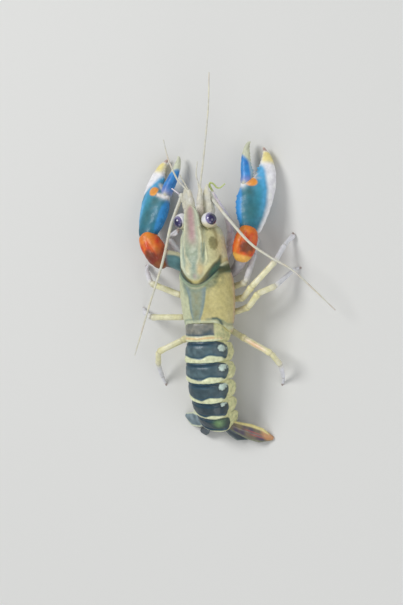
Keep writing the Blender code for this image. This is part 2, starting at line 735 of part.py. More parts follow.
def make_feelers(face):
    off_face = grown(face)
    for name, (stem, flagella) in ANTENNULES.items():
        curve = smooth(stem)
        root = tube(stretch(curve, 0, lengths(curve)[-1], 8), PEDUNCLE_RADII)
        threads = []
        for route in flagella:
            curve = smooth(route)
            length = lengths(curve)[-1]
            count = max(6, int(length / FLAGELLUM_STEP))
            threads.append(tube(stretch(curve, 0, length, count), FLAGELLUM_RADII, 1))
        finish(cut(fuse(root, threads), off_face), name, PALE)
    for name, route in ANTENNA_BASES.items():
        curve = smooth(route)
        points = stretch(curve, 0, lengths(curve)[-1], 8)
        finish(cut(tube(points, ANTENNA_BASE_RADII, 3), off_face), name, PALE)
    for name, route in ANTENNA_WHIPS.items():
        curve = smooth(route)
        points = stretch(curve, 0, lengths(curve)[-1], 20)
        base = PARTS.objects[name.replace("whip", "base")]
        finish(cut(tube(points, WHIP_RADII, 1), grown(base)), name, FEELER)
    for name, (route, half_widths) in SCALES.items():
        leaf = blade([Vector(p) for p in route], half_widths, SCALE_HALF_THICK, X)
        base = PARTS.objects[name.replace("antennal_scale", "antenna_base")]
        stem = PARTS.objects[name.replace("antennal_scale", "antennule")]
        finish(cut(leaf, off_face, grown(base), grown(stem)), name, PALE)


def ring_frame(index):
    """Axis point, direction backward, right and up of an abdomen joint."""
    crown, pitch, roll, half_width, rise = ABDOMEN[index]
    pitch, roll = math.radians(pitch), math.radians(roll)
    back = Vector((0, -math.cos(pitch), -math.sin(pitch)))
    level_up = Vector((0, -math.sin(pitch), math.cos(pitch)))
    up = level_up * math.cos(roll) - X * math.sin(roll)
    right = X * math.cos(roll) + level_up * math.sin(roll)
    return Vector(crown) - up * rise, back, right, up, half_width, rise


def between(a, b, t):
    """A frame part of the way from one abdomen joint to the next."""
    mixed = [p.lerp(q, t) if isinstance(p, Vector) else p + (q - p) * t for p, q in zip(a, b)]
    for i in (1, 2, 3):
        mixed[i] = mixed[i].normalized()
    return mixed


def abdomen_ring(index):
    """One tergite with its two side lobes and, under the middle rings, its swimmerets."""
    front, rear = ring_frame(index - 1), ring_frame(index)
    length = (rear[0] - front[0]).length
    half_gap = GAP / 2 / length
    rings = []
    for t, size in ((half_gap, RING_FRONT), *RING_SHARES, (1 - half_gap, RING_REAR)):
        centre, back, right, up, half_width, rise = between(front, rear, t)
        width = half_width * size * RING_WIDTH
        rings.append(section(centre, right, up, width, rise * size, RING_DEPTH * size, 20, RING_POWER,
                             RING_POWER))
    body = loft(rings)
    centre, back, right, up, half_width, rise = between(front, rear, PLEURON_PLACE)
    inset, lift = PLEURON_ROOT
    width = length * PLEURON_FILL / 2
    drop = PLEURON_DROP * (FIRST_DROP if index == 1 else 1.0)
    down, behind, beside = SWIMMERET_REACH
    added = []
    for side in (-1, 1):
        outward = right * side
        root = centre + outward * (half_width - inset) + up * lift
        tip = centre + outward * (half_width - PLEURON_TIP) - up * drop + back * length * PLEURON_SWEEP
        points = [root.lerp(tip, t) for t in PLEURON_STEPS]
        added.append(blade(points, [width * share for share in PLEURON_SHARES], PLEURON_HALF_THICK, back, 8))
        if index in SWIMMERET_RINGS:
            start = centre + outward * half_width * SWIMMERET_PLACE - up * (RING_DEPTH - SWIMMERET_SINK)
            end = start - up * down + back * behind + outward * beside
            points = [start, start.lerp(end, 0.5), end]
            added.append(blade(points, SWIMMERET_HALF_WIDTHS, SWIMMERET_HALF_THICK, back, 6))
    return fuse(body, added)


def make_abdomen(hull):
    rings = {}
    for index in range(1, len(ABDOMEN)):
        ring = abdomen_ring(index)
        if index == 1:
            cut(ring, hull)
        else:
            cut(ring, grown(rings[index - 1]))
        rings[index] = finish(ring, "abdomen_" + str(index), SLATE)
    return rings[len(ABDOMEN) - 1]


def make_fan(last_ring, floor):
    off_ring = grown(last_ring)
    done = []
    for name, (spine, half_widths, across) in FAN.items():
        curve = smooth(spine)
        points = stretch(curve, 0, lengths(curve)[-1], 9)
        leaf = blade(points, half_widths, FAN_HALF_THICK, Vector(across))
        cut(leaf, off_ring, floor, *[grown(other) for other in done])
        done.append(finish(leaf, name, FAN_TONE))


def claw_frame(arm):
    """Origin, axis, outward direction and upward direction of a claw."""
    heading, pitch, roll = (math.radians(a) for a in (arm["heading"], CLAW_PITCH, arm["roll"]))
    side = arm["side"]
    turn = heading * side
    axis = Vector((math.sin(turn) * math.cos(pitch) * side, math.cos(turn) * math.cos(pitch),
                   -math.sin(pitch)))
    out = Vector((math.cos(turn) * side, -math.sin(turn), 0))
    up = out.cross(axis) * side
    outward = out * math.cos(roll) - up * math.sin(roll)
    return Vector(arm["wrist"]), axis, outward, outward.cross(axis) * side


def claw_loft(arm, table):
    origin, axis, outward, up = claw_frame(arm)
    size = arm["scale"]
    rings = []
    for s, inner, outer, thick in table:
        centre = origin + axis * s * size + outward * (inner + outer) / 2 * size
        half = (outer - inner) / 2 * size
        rings.append(section(centre, outward, up, half, thick / 2 * size, thick / 2 * size, CLAW_SIDES,
                             CLAW_POWER, CLAW_POWER))
    return loft(rings)


def make_arm(word, arm, sternum, hull):
    start, end = (Vector(p) for p in arm["carpus"])
    along = (end - start).normalized()
    side = along.cross(Z).normalized()
    up = side.cross(along)
    total = CARPUS[-1][0]
    rings = [section(start.lerp(end, s / total), side, up, r, r * CARPUS_FLATTEN, r * CARPUS_FLATTEN,
                     CARPUS_SIDES, CARPUS_POWER, CARPUS_POWER) for s, r in CARPUS]
    carpus = finish(loft(rings), "carpus_" + word, ORANGE)
    off_carpus = grown(carpus)
    palm = finish(cut(claw_loft(arm, PALM), off_carpus), "palm_" + word, BLUE)
    finish(cut(claw_loft(arm, DACTYL), grown(palm)), "dactyl_" + word, BLUE)
    curve = smooth(arm["route"])
    limb = tube(stretch(curve, 0, lengths(curve)[-1], 12), arm["radii"], 4)
    finish(cut(limb, off_carpus, grown(sternum), hull), "arm_" + word, PALE)


def jointed(route, reach):
    """A limb's route with each inner corner cut into two points, so that its lengths stay straight."""
    pts = [Vector(p) for p in route]
    path = [pts[0]]
    for before, here, after in zip(pts, pts[1:], pts[2:]):
        path.append(here + (before - here).normalized() * reach)
        path.append(here + (after - here).normalized() * reach)
    return path + [pts[-1]]


def make_leg(name, route, knee, sternum, hull, floor):
    pts = [Vector(p) for p in route]
    before, bend, after = pts[knee - 1], pts[knee], pts[knee + 1]
    along = ((bend - before).normalized() + (after - bend).normalized()).normalized()
    inward, outward = (before - bend).normalized(), (after - bend).normalized()
    upper_path = jointed(pts[:knee] + [bend + inward * KNEE_REACH], CORNER)
    upper_path += [bend - along * KNEE_STRAIGHT, bend - along * GAP / 2]
    lower_path = [bend + along * GAP / 2, bend + along * KNEE_STRAIGHT]
    lower_path += jointed([bend + outward * KNEE_REACH] + pts[knee + 1:], CORNER)
    total = lengths(upper_path + lower_path)
    radii = [spread(LEG_RADII, s / total[-1]) for s in total]
    upper = tube(upper_path, radii[:len(upper_path)])
    cut(upper, grown(sternum), hull)
    finish(upper, name + "_upper", LEG)
    lower = tube(lower_path, radii[len(upper_path):])
    if name in PINCER_LEGS:
        tip = pts[-1]
        near = tip + (pts[-2] - tip).normalized() * PINCER_LENGTH
        beside = (tip - near).cross(Z).normalized()
        apart_by, above = PINCER_OPEN
        route = [near, near.lerp(tip, 0.5) + beside * PINCER_BOW, tip + beside * apart_by + Z * above]
        fuse(lower, [tube(route, PINCER_RADII, 1)])
    cut(lower, floor)
    finish(lower, name + "_lower", LEG)


def make_maxilliped(name, route, sternum, mouth, hull):
    path = jointed(route, CORNER)
    total = lengths(path)
    radii = [spread(MAXILLIPED_RADII, s / total[-1]) for s in total]
    limb = tube(path, radii)
    cut(limb, grown(sternum), grown(mouth), hull)
    finish(limb, name, PALE)


def main():
    floor = floor_cutter()
    carapace = make_carapace()
    clear_of_shell = grown(carapace)
    hull = grown(cutter(shell()))
    face, sternum, mouth = make_head_and_belly(clear_of_shell, hull)
    make_eyes(face, clear_of_shell)
    make_feelers(face)
    last_ring = make_abdomen(hull)
    make_fan(last_ring, floor)
    for word, arm in ARMS.items():
        make_arm(word, arm, sternum, hull)
    for name, (route, knee) in LEGS.items():
        make_leg(name, route, knee, sternum, hull, floor)
    for name, route in MAXILLIPEDS.items():
        make_maxilliped(name, route, sternum, mouth, hull)


main()
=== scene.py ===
"""The looks of a freshwater crayfish of the Cherax kind, a still model in life size.

Lengths are body millimetres, as in the solids' own design: +Y is forward, +X the animal's right, +Z up,
the floor is z = 0 and y = 0 is the rear margin of the carapace. to_row turns them into the frame's metres.

Each piece is a skin melted from plain clay, then raised or cut by a relief, which gives a height for each
point, and painted by tones, which give a colour for each point as layers of (colour, share). p and n are the
skin's points and normals. The numbers in a relief or a layer are millimetres on the part: where a ramp starts
and ends, or how wide a spot or a line is. They are shares of the part's length and width where it says so.
"""
import math

import bpy
import numpy as np
from mathutils import Matrix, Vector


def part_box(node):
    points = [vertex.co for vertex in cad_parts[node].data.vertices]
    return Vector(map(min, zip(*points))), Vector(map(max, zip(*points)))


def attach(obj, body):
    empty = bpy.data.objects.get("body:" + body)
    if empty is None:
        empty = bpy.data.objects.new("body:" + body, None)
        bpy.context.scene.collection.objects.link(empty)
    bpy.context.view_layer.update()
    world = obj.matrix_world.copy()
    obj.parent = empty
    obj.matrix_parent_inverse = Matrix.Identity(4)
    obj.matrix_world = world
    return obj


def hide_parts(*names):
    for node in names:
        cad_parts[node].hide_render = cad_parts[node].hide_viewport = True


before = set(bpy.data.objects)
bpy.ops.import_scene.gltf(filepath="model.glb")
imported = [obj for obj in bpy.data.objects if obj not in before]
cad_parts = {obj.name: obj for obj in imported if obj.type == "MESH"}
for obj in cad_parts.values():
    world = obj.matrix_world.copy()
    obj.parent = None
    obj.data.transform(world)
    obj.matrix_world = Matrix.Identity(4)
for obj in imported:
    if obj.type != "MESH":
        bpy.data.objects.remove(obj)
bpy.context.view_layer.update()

MM = 0.001

# The body's own zero, found from the sternum: it is symmetric, and its rear end's place is known
STERNUM_REAR = 0.8
KEEL_LOW, KEEL_HIGH = (np.array(corner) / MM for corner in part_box("sternum"))
CENTRE = np.array((-(KEEL_LOW[0] + KEEL_HIGH[0]) / 2, STERNUM_REAR - KEEL_LOW[1], 0.0))

X, Y, Z = np.eye(3)
SIDES = {"right": 1, "left": -1}


# Colours as seen on screen, 0 to 255

def tone(red, green, blue):
    """A screen colour as linear values."""
    share = np.array((red, green, blue)) / 255.0
    return np.where(share <= 0.04045, share / 12.92, ((share + 0.055) / 1.055) ** 2.4)


BEIGE = tone(192, 182, 122)
MINT = tone(196, 206, 176)
SAGE = tone(146, 160, 136)
PINK = tone(178, 134, 142)
CREAM = tone(226, 218, 176)
YELLOW = tone(216, 206, 126)
OLIVE = tone(112, 104, 48)
DEEP_TEAL = tone(28, 66, 66)
APRICOT = tone(222, 196, 140)
ROSE_TAN = tone(200, 164, 146)
BLUE_GREY = tone(140, 158, 166)
SLATE = tone(58, 80, 88)
INK = tone(16, 26, 34)
PEARL = tone(206, 226, 214)
WHITE = tone(236, 236, 238)
LILAC = tone(196, 188, 214)
PLUM = tone(34, 24, 58)
CLAW_TEAL = tone(34, 122, 152)
CLAW_GREEN = tone(44, 104, 106)
CLAW_BLUE = tone(52, 146, 218)
ORANGE = tone(232, 146, 44)
RED_ORANGE = tone(214, 74, 28)
RUST = tone(120, 44, 34)
UMBER = tone(98, 58, 34)
MAUVE = tone(84, 76, 90)
CLAW_AQUA = tone(62, 156, 176)
CLAW_SKY = tone(88, 176, 226)
CLAW_MOSS = tone(70, 96, 66)
CLAW_DARK = tone(24, 48, 56)
CLAW_COBALT = tone(44, 110, 190)
CLAW_VIOLET = tone(150, 150, 204)
CLAW_PALE = tone(196, 216, 210)
TIP_YELLOW = tone(238, 220, 120)
TIP_BROWN = tone(166, 126, 104)
TIP_PALE = tone(226, 210, 196)
TIP_IVORY = tone(214, 216, 186)
TIP_OLIVE = tone(164, 168, 138)
PEACH_WHITE = tone(244, 226, 214)
ORANGE_DEEP = tone(236, 150, 44)
ORANGE_PALE = tone(246, 180, 74)
ARM_TEAL = tone(96, 140, 146)
ARM_SHADE = tone(60, 100, 104)
ARM_UNDER = tone(200, 190, 196)
ARM_ROSE = tone(206, 186, 190)
LOBE_GREEN = tone(168, 178, 130)
LOBE_CREAM = tone(212, 210, 156)
BAND_CREAM = tone(228, 236, 194)
FRONT_BLUE = tone(20, 72, 96)
TAIL_GREY = tone(92, 116, 122)
TAIL_SHADE = tone(38, 56, 66)
FIRST_GREY = tone(138, 136, 124)
GREEN_PATCH = tone(120, 160, 96)
RIM_WHITE = tone(196, 212, 222)
SOFT_UNDER = tone(206, 202, 166)
KHAKI = tone(150, 136, 84)
JADE = tone(44, 108, 86)
LEG_CREAM = tone(238, 234, 204)
LEG_WHITE = tone(222, 224, 230)
LEG_BLUE = tone(130, 148, 200)
LEG_STREAK = tone(232, 150, 110)
LEG_JOINT = tone(150, 140, 120)
LEG_TIP = tone(130, 96, 70)
LIME = tone(190, 208, 112)
MINT_WHITE = tone(202, 212, 192)
MOSS_GREY = tone(112, 122, 88)
SAGE_DARK = tone(118, 136, 122)
ORANGE_CREAM = tone(228, 190, 134)
RIM_YELLOW = tone(236, 184, 88)
BRICK = tone(178, 96, 92)
FAN_TAN = tone(196, 140, 88)
FAN_DARK = tone(60, 70, 80)
JAW_WHITE = tone(248, 238, 244)
PALE_YELLOW = tone(222, 218, 166)
MOSS_DARK = tone(72, 88, 60)
PALM_WHITE = tone(250, 249, 250)
CREAM_YELLOW = tone(222, 210, 140)
MINT_GREY = tone(178, 192, 170)
ROSE_GREY = tone(186, 166, 150)
LIME_WHITE = tone(216, 222, 190)
UMBER_GREEN = tone(64, 62, 36)
TEAL_GREY = tone(96, 130, 122)
TEAL_PEARL = tone(106, 140, 120)
KEEL_CREAM = tone(216, 208, 168)
AREOLA_GREY = tone(134, 150, 134)
GREY_WHITE = tone(212, 212, 204)
VIOLET = tone(48, 34, 96)
# Painted glint on the cornea
VIOLET_GLINT = tone(150, 140, 190)


# Numbers

MOTTLE_WAVES = 7
MOTTLE_SPAN = 1.3
CURVE_STEPS = 16


def ramp(value, start, end):
    """0 before start, 1 after end, smooth between; start may be the larger."""
    share = np.clip((value - start) / (end - start), 0.0, 1.0)
    return share * share * (3 - 2 * share)


def window(value, start, full, fade, end):
    """0 outside start and end, 1 from full to fade, smooth between."""
    return ramp(value, start, full) * ramp(value, end, fade)


def near(value, width):
    """1 where a value is 0, fading to nothing a few widths away."""
    return np.exp(-(value / width) ** 2)


def layers(colour, *rows):
    """A colour with rows of (colour, share for each point) laid over it, one after another."""
    for over, share in rows:
        share = np.asarray(share)[..., None]
        colour = colour * (1 - share) + over * share
    return colour


def mottle(points, size, seed):
    """Smooth irregular waves from about -1 to 1, some size millimetres long."""
    draw = np.random.default_rng(seed)
    total = np.zeros(len(points))
    for _ in range(MOTTLE_WAVES):
        way = draw.normal(size=3)
        way *= 2 * math.pi / size * draw.uniform(0.7, 1.5) / np.linalg.norm(way)
        total += np.sin(points @ way + draw.uniform(0, 2 * math.pi))
    return total / math.sqrt(MOTTLE_WAVES) / MOTTLE_SPAN


def patches(points, size, seed, start, end):
    """Soft patches, which begin where the mottle passes start and are full where it passes end."""
    return ramp(mottle(points, size, seed), start, end)


def read(table, at):
    """A table of (place, value) pairs, read straight from pair to pair and held past its ends."""
    return np.interp(at, *zip(*table))


def stations(table, at):
    """Every column of a table but the first, read smoothly at new values of the first, held past its ends."""
    rows = np.array(table, float)
    keys, cols = rows[:, 0], rows[:, 1:]
    at = np.atleast_1d(np.asarray(at, float))
    slope = np.diff(cols, axis=0) / np.diff(keys)[:, None]
    tilt = np.vstack((slope[:1], slope))
    tilt[1:-1] = (slope[:-1] + slope[1:]) / 2
    tilt[1:-1][slope[:-1] * slope[1:] <= 0] = 0.0
    i = np.clip(np.searchsorted(keys, at) - 1, 0, len(keys) - 2)
    span = (keys[i + 1] - keys[i])[:, None]
    t = np.clip((at - keys[i])[:, None] / span, 0.0, 1.0)
    return (cols[i] * (2 * t ** 3 - 3 * t ** 2 + 1) + tilt[i] * span * (t ** 3 - 2 * t ** 2 + t)
            + cols[i + 1] * (3 * t ** 2 - 2 * t ** 3) + tilt[i + 1] * span * (t ** 3 - t ** 2))


def places_in(table, count):
    """Even places from a table's first row to its last."""
    return np.linspace(table[0][0], table[-1][0], count)


def steps(count):
    """Shares from 0 to 1 in even steps."""
    return np.linspace(0, 1, count)


def spread(values, share):
    """Evenly spaced values read at shares from 0 to 1."""
    return np.interp(share, steps(len(values)), values)


def unit(vectors):
    vectors = np.asarray(vectors, float)
    return vectors / np.linalg.norm(vectors, axis=-1, keepdims=True)


def lengths(path):
    """How far along a path each of its points lies."""
    return np.concatenate(([0.0], np.cumsum(np.linalg.norm(np.diff(path, axis=0), axis=1))))


def even(path, count):
    """A path's points, spaced evenly along it."""
    path = np.asarray(path, float)
    length = lengths(path)
    at = np.linspace(0, length[-1], count)
    return np.stack([np.interp(at, length, path[:, i]) for i in range(3)], axis=1)


def route_through(points, count):
    """A smooth curve through points, as evenly spaced points."""
    pts = np.array(points, float)
    pts = np.vstack((2 * pts[0] - pts[1], pts, 2 * pts[-1] - pts[-2]))
    t = np.linspace(0, 1, CURVE_STEPS, endpoint=False)[:, None]
    path = []
    for a, b, c, d in zip(pts, pts[1:], pts[2:], pts[3:]):
        path.append(0.5 * (2 * b + (c - a) * t + (2 * a - 5 * b + 4 * c - d) * t ** 2
                           + (3 * b - a - 3 * c + d) * t ** 3))
    return even(np.vstack(path + [pts[-2:-1]]), count)


def nearest(points, path):
    """The number of the path's point that is nearest to each point."""
    return ((path ** 2).sum(axis=1) - 2 * points @ path.T).argmin(axis=1)


def nips(share, depth, width, *places):
    """Shares of a limb's radius, pinched at each joint's place along it."""
    return 1 - depth * sum(near(share - place, width) for place in places)


def oval(count, crown=2.0, belly=2.0):
    """Across and height of a rounded section of half size 1, fuller than an ellipse above power 2."""
    turn = np.linspace(0, 2 * math.pi, count, endpoint=False)
    power = 2.0 / np.where(np.sin(turn) >= 0, crown, belly)
    return [np.sign(v) * np.abs(v) ** power for v in (np.cos(turn), np.sin(turn))]


# Meshes

CAP_RINGS = 4
CAP_REACH = 0.9
CAP_START = 0.15
POLE_GAP = 0.02
STEEP = 0.9
SPINE_TIP = 0.04
FLOOR_GAP = 0.02

# Fineness of the melted skins
VOXEL = dict(shell=0.26, soft=0.3, claw=0.24, finger=0.22, leg=0.2, tail=0.24, thin=0.18, scale=0.16)


def to_row(points):
    return (np.asarray(points, float) - CENTRE) * MM


def points_of(obj):
    """An object's points in body millimetres."""
    flat = np.empty(len(obj.data.vertices) * 3)
    obj.data.vertices.foreach_get("co", flat)
    return flat.reshape(-1, 3) / MM + CENTRE


def normals_of(obj):
    flat = np.empty(len(obj.data.vertices) * 3)
    obj.data.vertex_normals.foreach_get("vector", flat)
    return flat.reshape(-1, 3)


def reshape(obj, points):
    obj.data.vertices.foreach_set("co", to_row(points).ravel())
    obj.data.update()


def add_object(name, data):
    obj = bpy.data.objects.new(name, data)
    bpy.context.scene.collection.objects.link(obj)
    return obj


def new_object(name, points, faces):
    mesh = bpy.data.meshes.new(name)
    mesh.from_pydata(to_row(points).tolist(), [], faces)
    mesh.update()
    return add_object(name, mesh)


def loft(name, rings):
    """A skin through rings of equal count, its ends closed by fans."""
    rings = np.asarray(rings, float)
    rows, count = rings.shape[:2]
    points = np.vstack((rings.reshape(-1, 3), rings[0].mean(axis=0), rings[-1].mean(axis=0)))
    near_i = np.arange(count)
    next_i = (near_i + 1) % count
    faces = []
    for r in range(rows - 1):
        low, high = r * count, (r + 1) * count
        faces += np.stack((low + near_i, low + next_i, high + next_i, high + near_i), axis=1).tolist()
    start, end, last = rows * count, rows * count + 1, (rows - 1) * count
    faces += [(start, int(j), int(i)) for i, j in zip(near_i, next_i)]
    faces += [(end, last + int(i), last + int(j)) for i, j in zip(near_i, next_i)]
    return new_object(name, points, faces)


def sections(middle, side, up, half, rise, outline):
    """Rings around each middle point, half wide along side and rise high along up."""
    across, high = outline
    side, up = (np.broadcast_to(v, middle.shape)[:, None] for v in (side, up))
    wide, tall = half[:, None] * across, rise[:, None] * high
    return middle[:, None] + side * wide[..., None] + up * tall[..., None]


def hull(name, y, table, waist, outline, middle=0.0, back=0.0):
    """A skin along y from columns of half width, top and underside, around a waist, and moved rearward."""
    half, top, low = (column[:, None] for column in table)
    waist, middle = (np.broadcast_to(v, y.shape)[:, None] for v in (waist, middle))
    across, high = outline
    reach = np.where(high >= 0, top - waist, waist - low)
    rings = np.broadcast_arrays(middle + half * across, y[:, None] - back, waist + reach * high)
    return loft(name, np.stack(rings, axis=-1))


def frames_along(path):
    """Directions along, across and up at each point of a path, without twist."""
    ahead = unit(np.gradient(path, axis=0))
    side = np.empty_like(ahead)
    side[0] = unit(np.cross(ahead[0], Z if abs(ahead[0] @ Z) < STEEP else X))
    for i in range(1, len(path)):
        side[i] = unit(side[i - 1] - ahead[i] * (side[i - 1] @ ahead[i]))
    return ahead, side, np.cross(side, ahead)


def tube(name, path, radii, sides=16, round_ends=True):
    """A round limb along a path; radii are one number for each point."""
    ahead, side, up = frames_along(path)
    if round_ends:
        tilt = np.linspace(CAP_START, 1, CAP_RINGS, endpoint=False) * math.pi / 2
        lead, back = np.sin(tilt), np.cos(tilt)[:, None] * CAP_REACH
        path = np.vstack((path[:1] - ahead[:1] * radii[0] * back, path,
                          path[-1:] + ahead[-1:] * radii[-1] * back[::-1]))
        radii = np.concatenate((radii[0] * lead, radii, radii[-1] * lead[::-1]))
        side, up = (np.pad(v, ((CAP_RINGS, CAP_RINGS), (0, 0)), mode="edge") for v in (side, up))
    return loft(name, sections(path, side, up, radii, radii, oval(sides)))


def leaf_frame(path, across):
    """A leaf's sideward direction and the direction of its face at each point of its path."""
    ahead = unit(np.gradient(path, axis=0))
    side = unit(across - ahead * (ahead @ np.asarray(across, float))[:, None])
    return side, np.cross(ahead, side)


def blade(name, path, half_widths, half_thick, across, sides):
    """A thin leaf along a path, half_widths spread evenly over its length."""
    side, face = leaf_frame(path, across)
    width = spread(half_widths, steps(len(path)))
    return loft(name, sections(path, side, face, width, np.minimum(half_thick, width), oval(sides)))


def ball(name, centre, radius, segments, rings, axis=Z):
    """A ball whose poles lie along axis."""
    side = unit(np.cross(axis, X if abs(axis @ X) < STEEP else Y))
    tilt = np.linspace(POLE_GAP, math.pi - POLE_GAP, rings)
    middle = centre - axis * (np.cos(tilt) * radius)[:, None]
    girth = np.sin(tilt) * radius
    return loft(name, sections(middle, side, np.cross(axis, side), girth, girth, oval(segments)))


def spine(foot, tip, radius):
    """A small thorn with a curved flank."""
    foot, tip = np.array(foot), np.array(tip)
    t = steps(7)
    radii = radius * (1 - t) ** 0.8 + SPINE_TIP
    return tube("spine", foot + (tip - foot) * t[:, None], radii, sides=8, round_ends=False)


def joined(name, pieces):
    """Several closed skins as one object."""
    if len(pieces) == 1:
        pieces[0].name = name
        return pieces[0]
    points, faces, base = [], [], 0
    for piece in pieces:
        own = points_of(piece)
        points.append(own)
        faces += [[base + i for i in polygon.vertices] for polygon in piece.data.polygons]
        base += len(own)
        bpy.data.objects.remove(piece)
    return new_object(name, np.vstack(points), faces)


def melt(name, pieces, voxel, rounds=4):
    """Closed skins melted into one, with soft joins, as a plain mesh."""
    obj = joined(name, pieces)
    step = obj.modifiers.new("remesh", "REMESH")
    step.mode = "VOXEL"
    step.voxel_size = voxel * MM
    step.adaptivity = 0.0
    ease = obj.modifiers.new("ease", "SMOOTH")
    ease.factor = 0.5
    ease.iterations = rounds
    graph = bpy.context.evaluated_depsgraph_get()
    mesh = bpy.data.meshes.new_from_object(obj.evaluated_get(graph))
    old = obj.data
    obj.modifiers.clear()
    obj.data = mesh
    bpy.data.meshes.remove(old)
    return obj


def emboss(obj, height):
    """Moves a skin along its normals by height(points, normals), in millimetres."""
    points, normals = points_of(obj), normals_of(obj)
    reshape(obj, points + normals * height(points, normals)[:, None])


def keep_off_floor(obj):
    """Lifts the points of a skin that would lie in the floor."""
    points = points_of(obj)
    points[:, 2] = np.maximum(points[:, 2], FLOOR_GAP)
    reshape(obj, points)


def dress(obj, tones, look, slot, *nodes):
    """Finishes a piece: painted tones, smooth shading, its look, its body and the solids it stands for."""
    rgb = np.clip(tones(points_of(obj), normals_of(obj)), 0.0, 1.0)
    layer = obj.data.color_attributes.new("tone", "FLOAT_COLOR", "POINT")
    layer.data.foreach_set("color", np.column_stack((rgb, np.ones(len(rgb)))).ravel())
    obj.data.shade_smooth()
    obj.data.materials.clear()
    obj.data.materials.append(look)
    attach(obj, "root")
    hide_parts(*nodes)


# Materials

CLOUD_SIZE = 1.7
CLOUD_RANGE = (0.3, 0.7)
WET_ROUGHNESS = 0.15
GRAIN_DEPTH = 0.1
PIT_DEPTH = 0.12
PIT_EDGE = 0.28


def add_node(tree, kind, values=None, wires=None, **settings):
    """A shader node with its settings, the values of its inputs and wires from other nodes' outputs."""
    node = tree.nodes.new(kind)
    for key, value in settings.items():
        setattr(node, key, value)
    for key, value in (values or {}).items():
        node.inputs[key].default_value = value
    for key, source in (wires or {}).items():
        tree.links.new(source, node.inputs[key])
    return node


def shell_look(name, roughness, coat=0.25, grain=0.12, grain_size=0.35, pits=0.0, pit_size=0.6, uneven=0.12):
    """Horn shell: the painted tone broken up by fine noise, with a grainy, pitted, slightly wet surface."""
    mat = bpy.data.materials.new(name)
    mat.use_nodes = True
    tree = mat.node_tree
    shader = tree.nodes["Principled BSDF"]
    shader.inputs["Roughness"].default_value = roughness
    shader.inputs["Coat Weight"].default_value = coat
    shader.inputs["Coat Roughness"].default_value = WET_ROUGHNESS

    painted = add_node(tree, "ShaderNodeAttribute", attribute_name="tone")
    place = {"Vector": add_node(tree, "ShaderNodeTexCoord").outputs["Object"]}
    cloud = add_node(tree, "ShaderNodeTexNoise", {"Scale": 1.0 / (CLOUD_SIZE * MM), "Detail": 6.0}, place)
    shade = add_node(tree, "ShaderNodeMapRange",
                     {"From Min": CLOUD_RANGE[0], "From Max": CLOUD_RANGE[1], "To Min": 1.0 - uneven,
                      "To Max": 1.0 + uneven},
                     {"Value": cloud.outputs["Fac"]})
    tinted = add_node(tree, "ShaderNodeVectorMath", {},
                      {0: painted.outputs["Color"], "Scale": shade.outputs["Result"]}, operation="SCALE")
    tree.links.new(tinted.outputs["Vector"], shader.inputs["Base Color"])

    fine = add_node(tree, "ShaderNodeTexNoise", {"Scale": 1.0 / (grain_size * MM), "Detail": 4.0}, place)
    bump = add_node(tree, "ShaderNodeBump", {"Strength": grain, "Distance": GRAIN_DEPTH * MM},
                    {"Height": fine.outputs["Fac"]})
    if pits:
        cell = add_node(tree, "ShaderNodeTexVoronoi", {"Scale": 1.0 / (pit_size * MM)}, place)
        well = add_node(tree, "ShaderNodeMapRange", {"From Min": 0.0, "From Max": PIT_EDGE},
                        {"Value": cell.outputs["Distance"]})
        bump = add_node(tree, "ShaderNodeBump", {"Strength": pits, "Distance": PIT_DEPTH * MM},
                        {"Height": well.outputs["Result"], "Normal": bump.outputs["Normal"]})
    tree.links.new(bump.outputs["Normal"], shader.inputs["Normal"])
    return mat


SHELL_LOOK = shell_look("carapace_shell", 0.52, coat=0.1, grain=0.18, pits=0.3, pit_size=0.8)
TAIL_LOOK = shell_look("tail_shell", 0.44, coat=0.15, grain=0.15, pits=0.15, uneven=0.2)
SOFT_LOOK = shell_look("soft_shell", 0.45, coat=0.15, grain=0.2)
CLAW_LOOK = shell_look("claw_shell", 0.48, coat=0.12, grain=0.16, pits=0.3, pit_size=0.7)
LEG_LOOK = shell_look("leg_shell", 0.42, coat=0.25, grain=0.15)
FEELER_LOOK = shell_look("feeler_skin", 0.48, coat=0.1, grain=0.1)
FAN_LOOK = shell_look("fan_shell", 0.4, coat=0.3, grain=0.15)
STALK_LOOK = shell_look("eyestalk_skin", 0.35, coat=0.4, grain=0.05, uneven=0.05)
EYE_LOOK = shell_look("cornea", 0.08, coat=1.0, grain=0.03, grain_size=0.15, uneven=0.2)


# Carapace

WAIST = 17.0

# Where the carapace begins to round off towards its front, and where its half width stops counting
FRONT_BEND = 39.0
WIDE_END = 41.0

# y, half width, crown height, underside height
CARAPACE = (
    (0.0, 10.2, 28.5, 13.6),
    (3.0, 11.0, 29.6, 12.4),
    (8.0, 11.6, 30.6, 11.6),
    (14.0, 11.8, 31.0, 11.4),
    (18.0, 11.6, 31.1, 11.4),
    (22.0, 11.1, 31.0, 11.4),
    (27.0, 10.2, 30.4, 11.6),
    (32.0, 9.7, 29.6, 12.0),
    (36.0, 9.4, 28.8, 12.8),
    (39.0, 8.9, 28.0, 14.2),
    (41.5, 7.5, 27.2, 16.0),
    (42.6, 5.4, 26.0, 18.0),
    (43.0, 3.0, 24.5, 20.0),
)
CROWN_POWER = 2.2
BELLY_POWER = 2.6
REAR_LOBE = 4.5
REAR_LOBE_REACH = 12.0
REAR_LOBE_POWER = 8

# The carapace's middle line: y along the body, and how far it leans to the right
LEAN = ((0.0, 0.5), (10.0, 0.5), (18.0, 0.2), (24.0, -0.5), (32.0, -0.7), (40.0, -1.0), (46.0, -1.25),
        (52.0, -1.5))

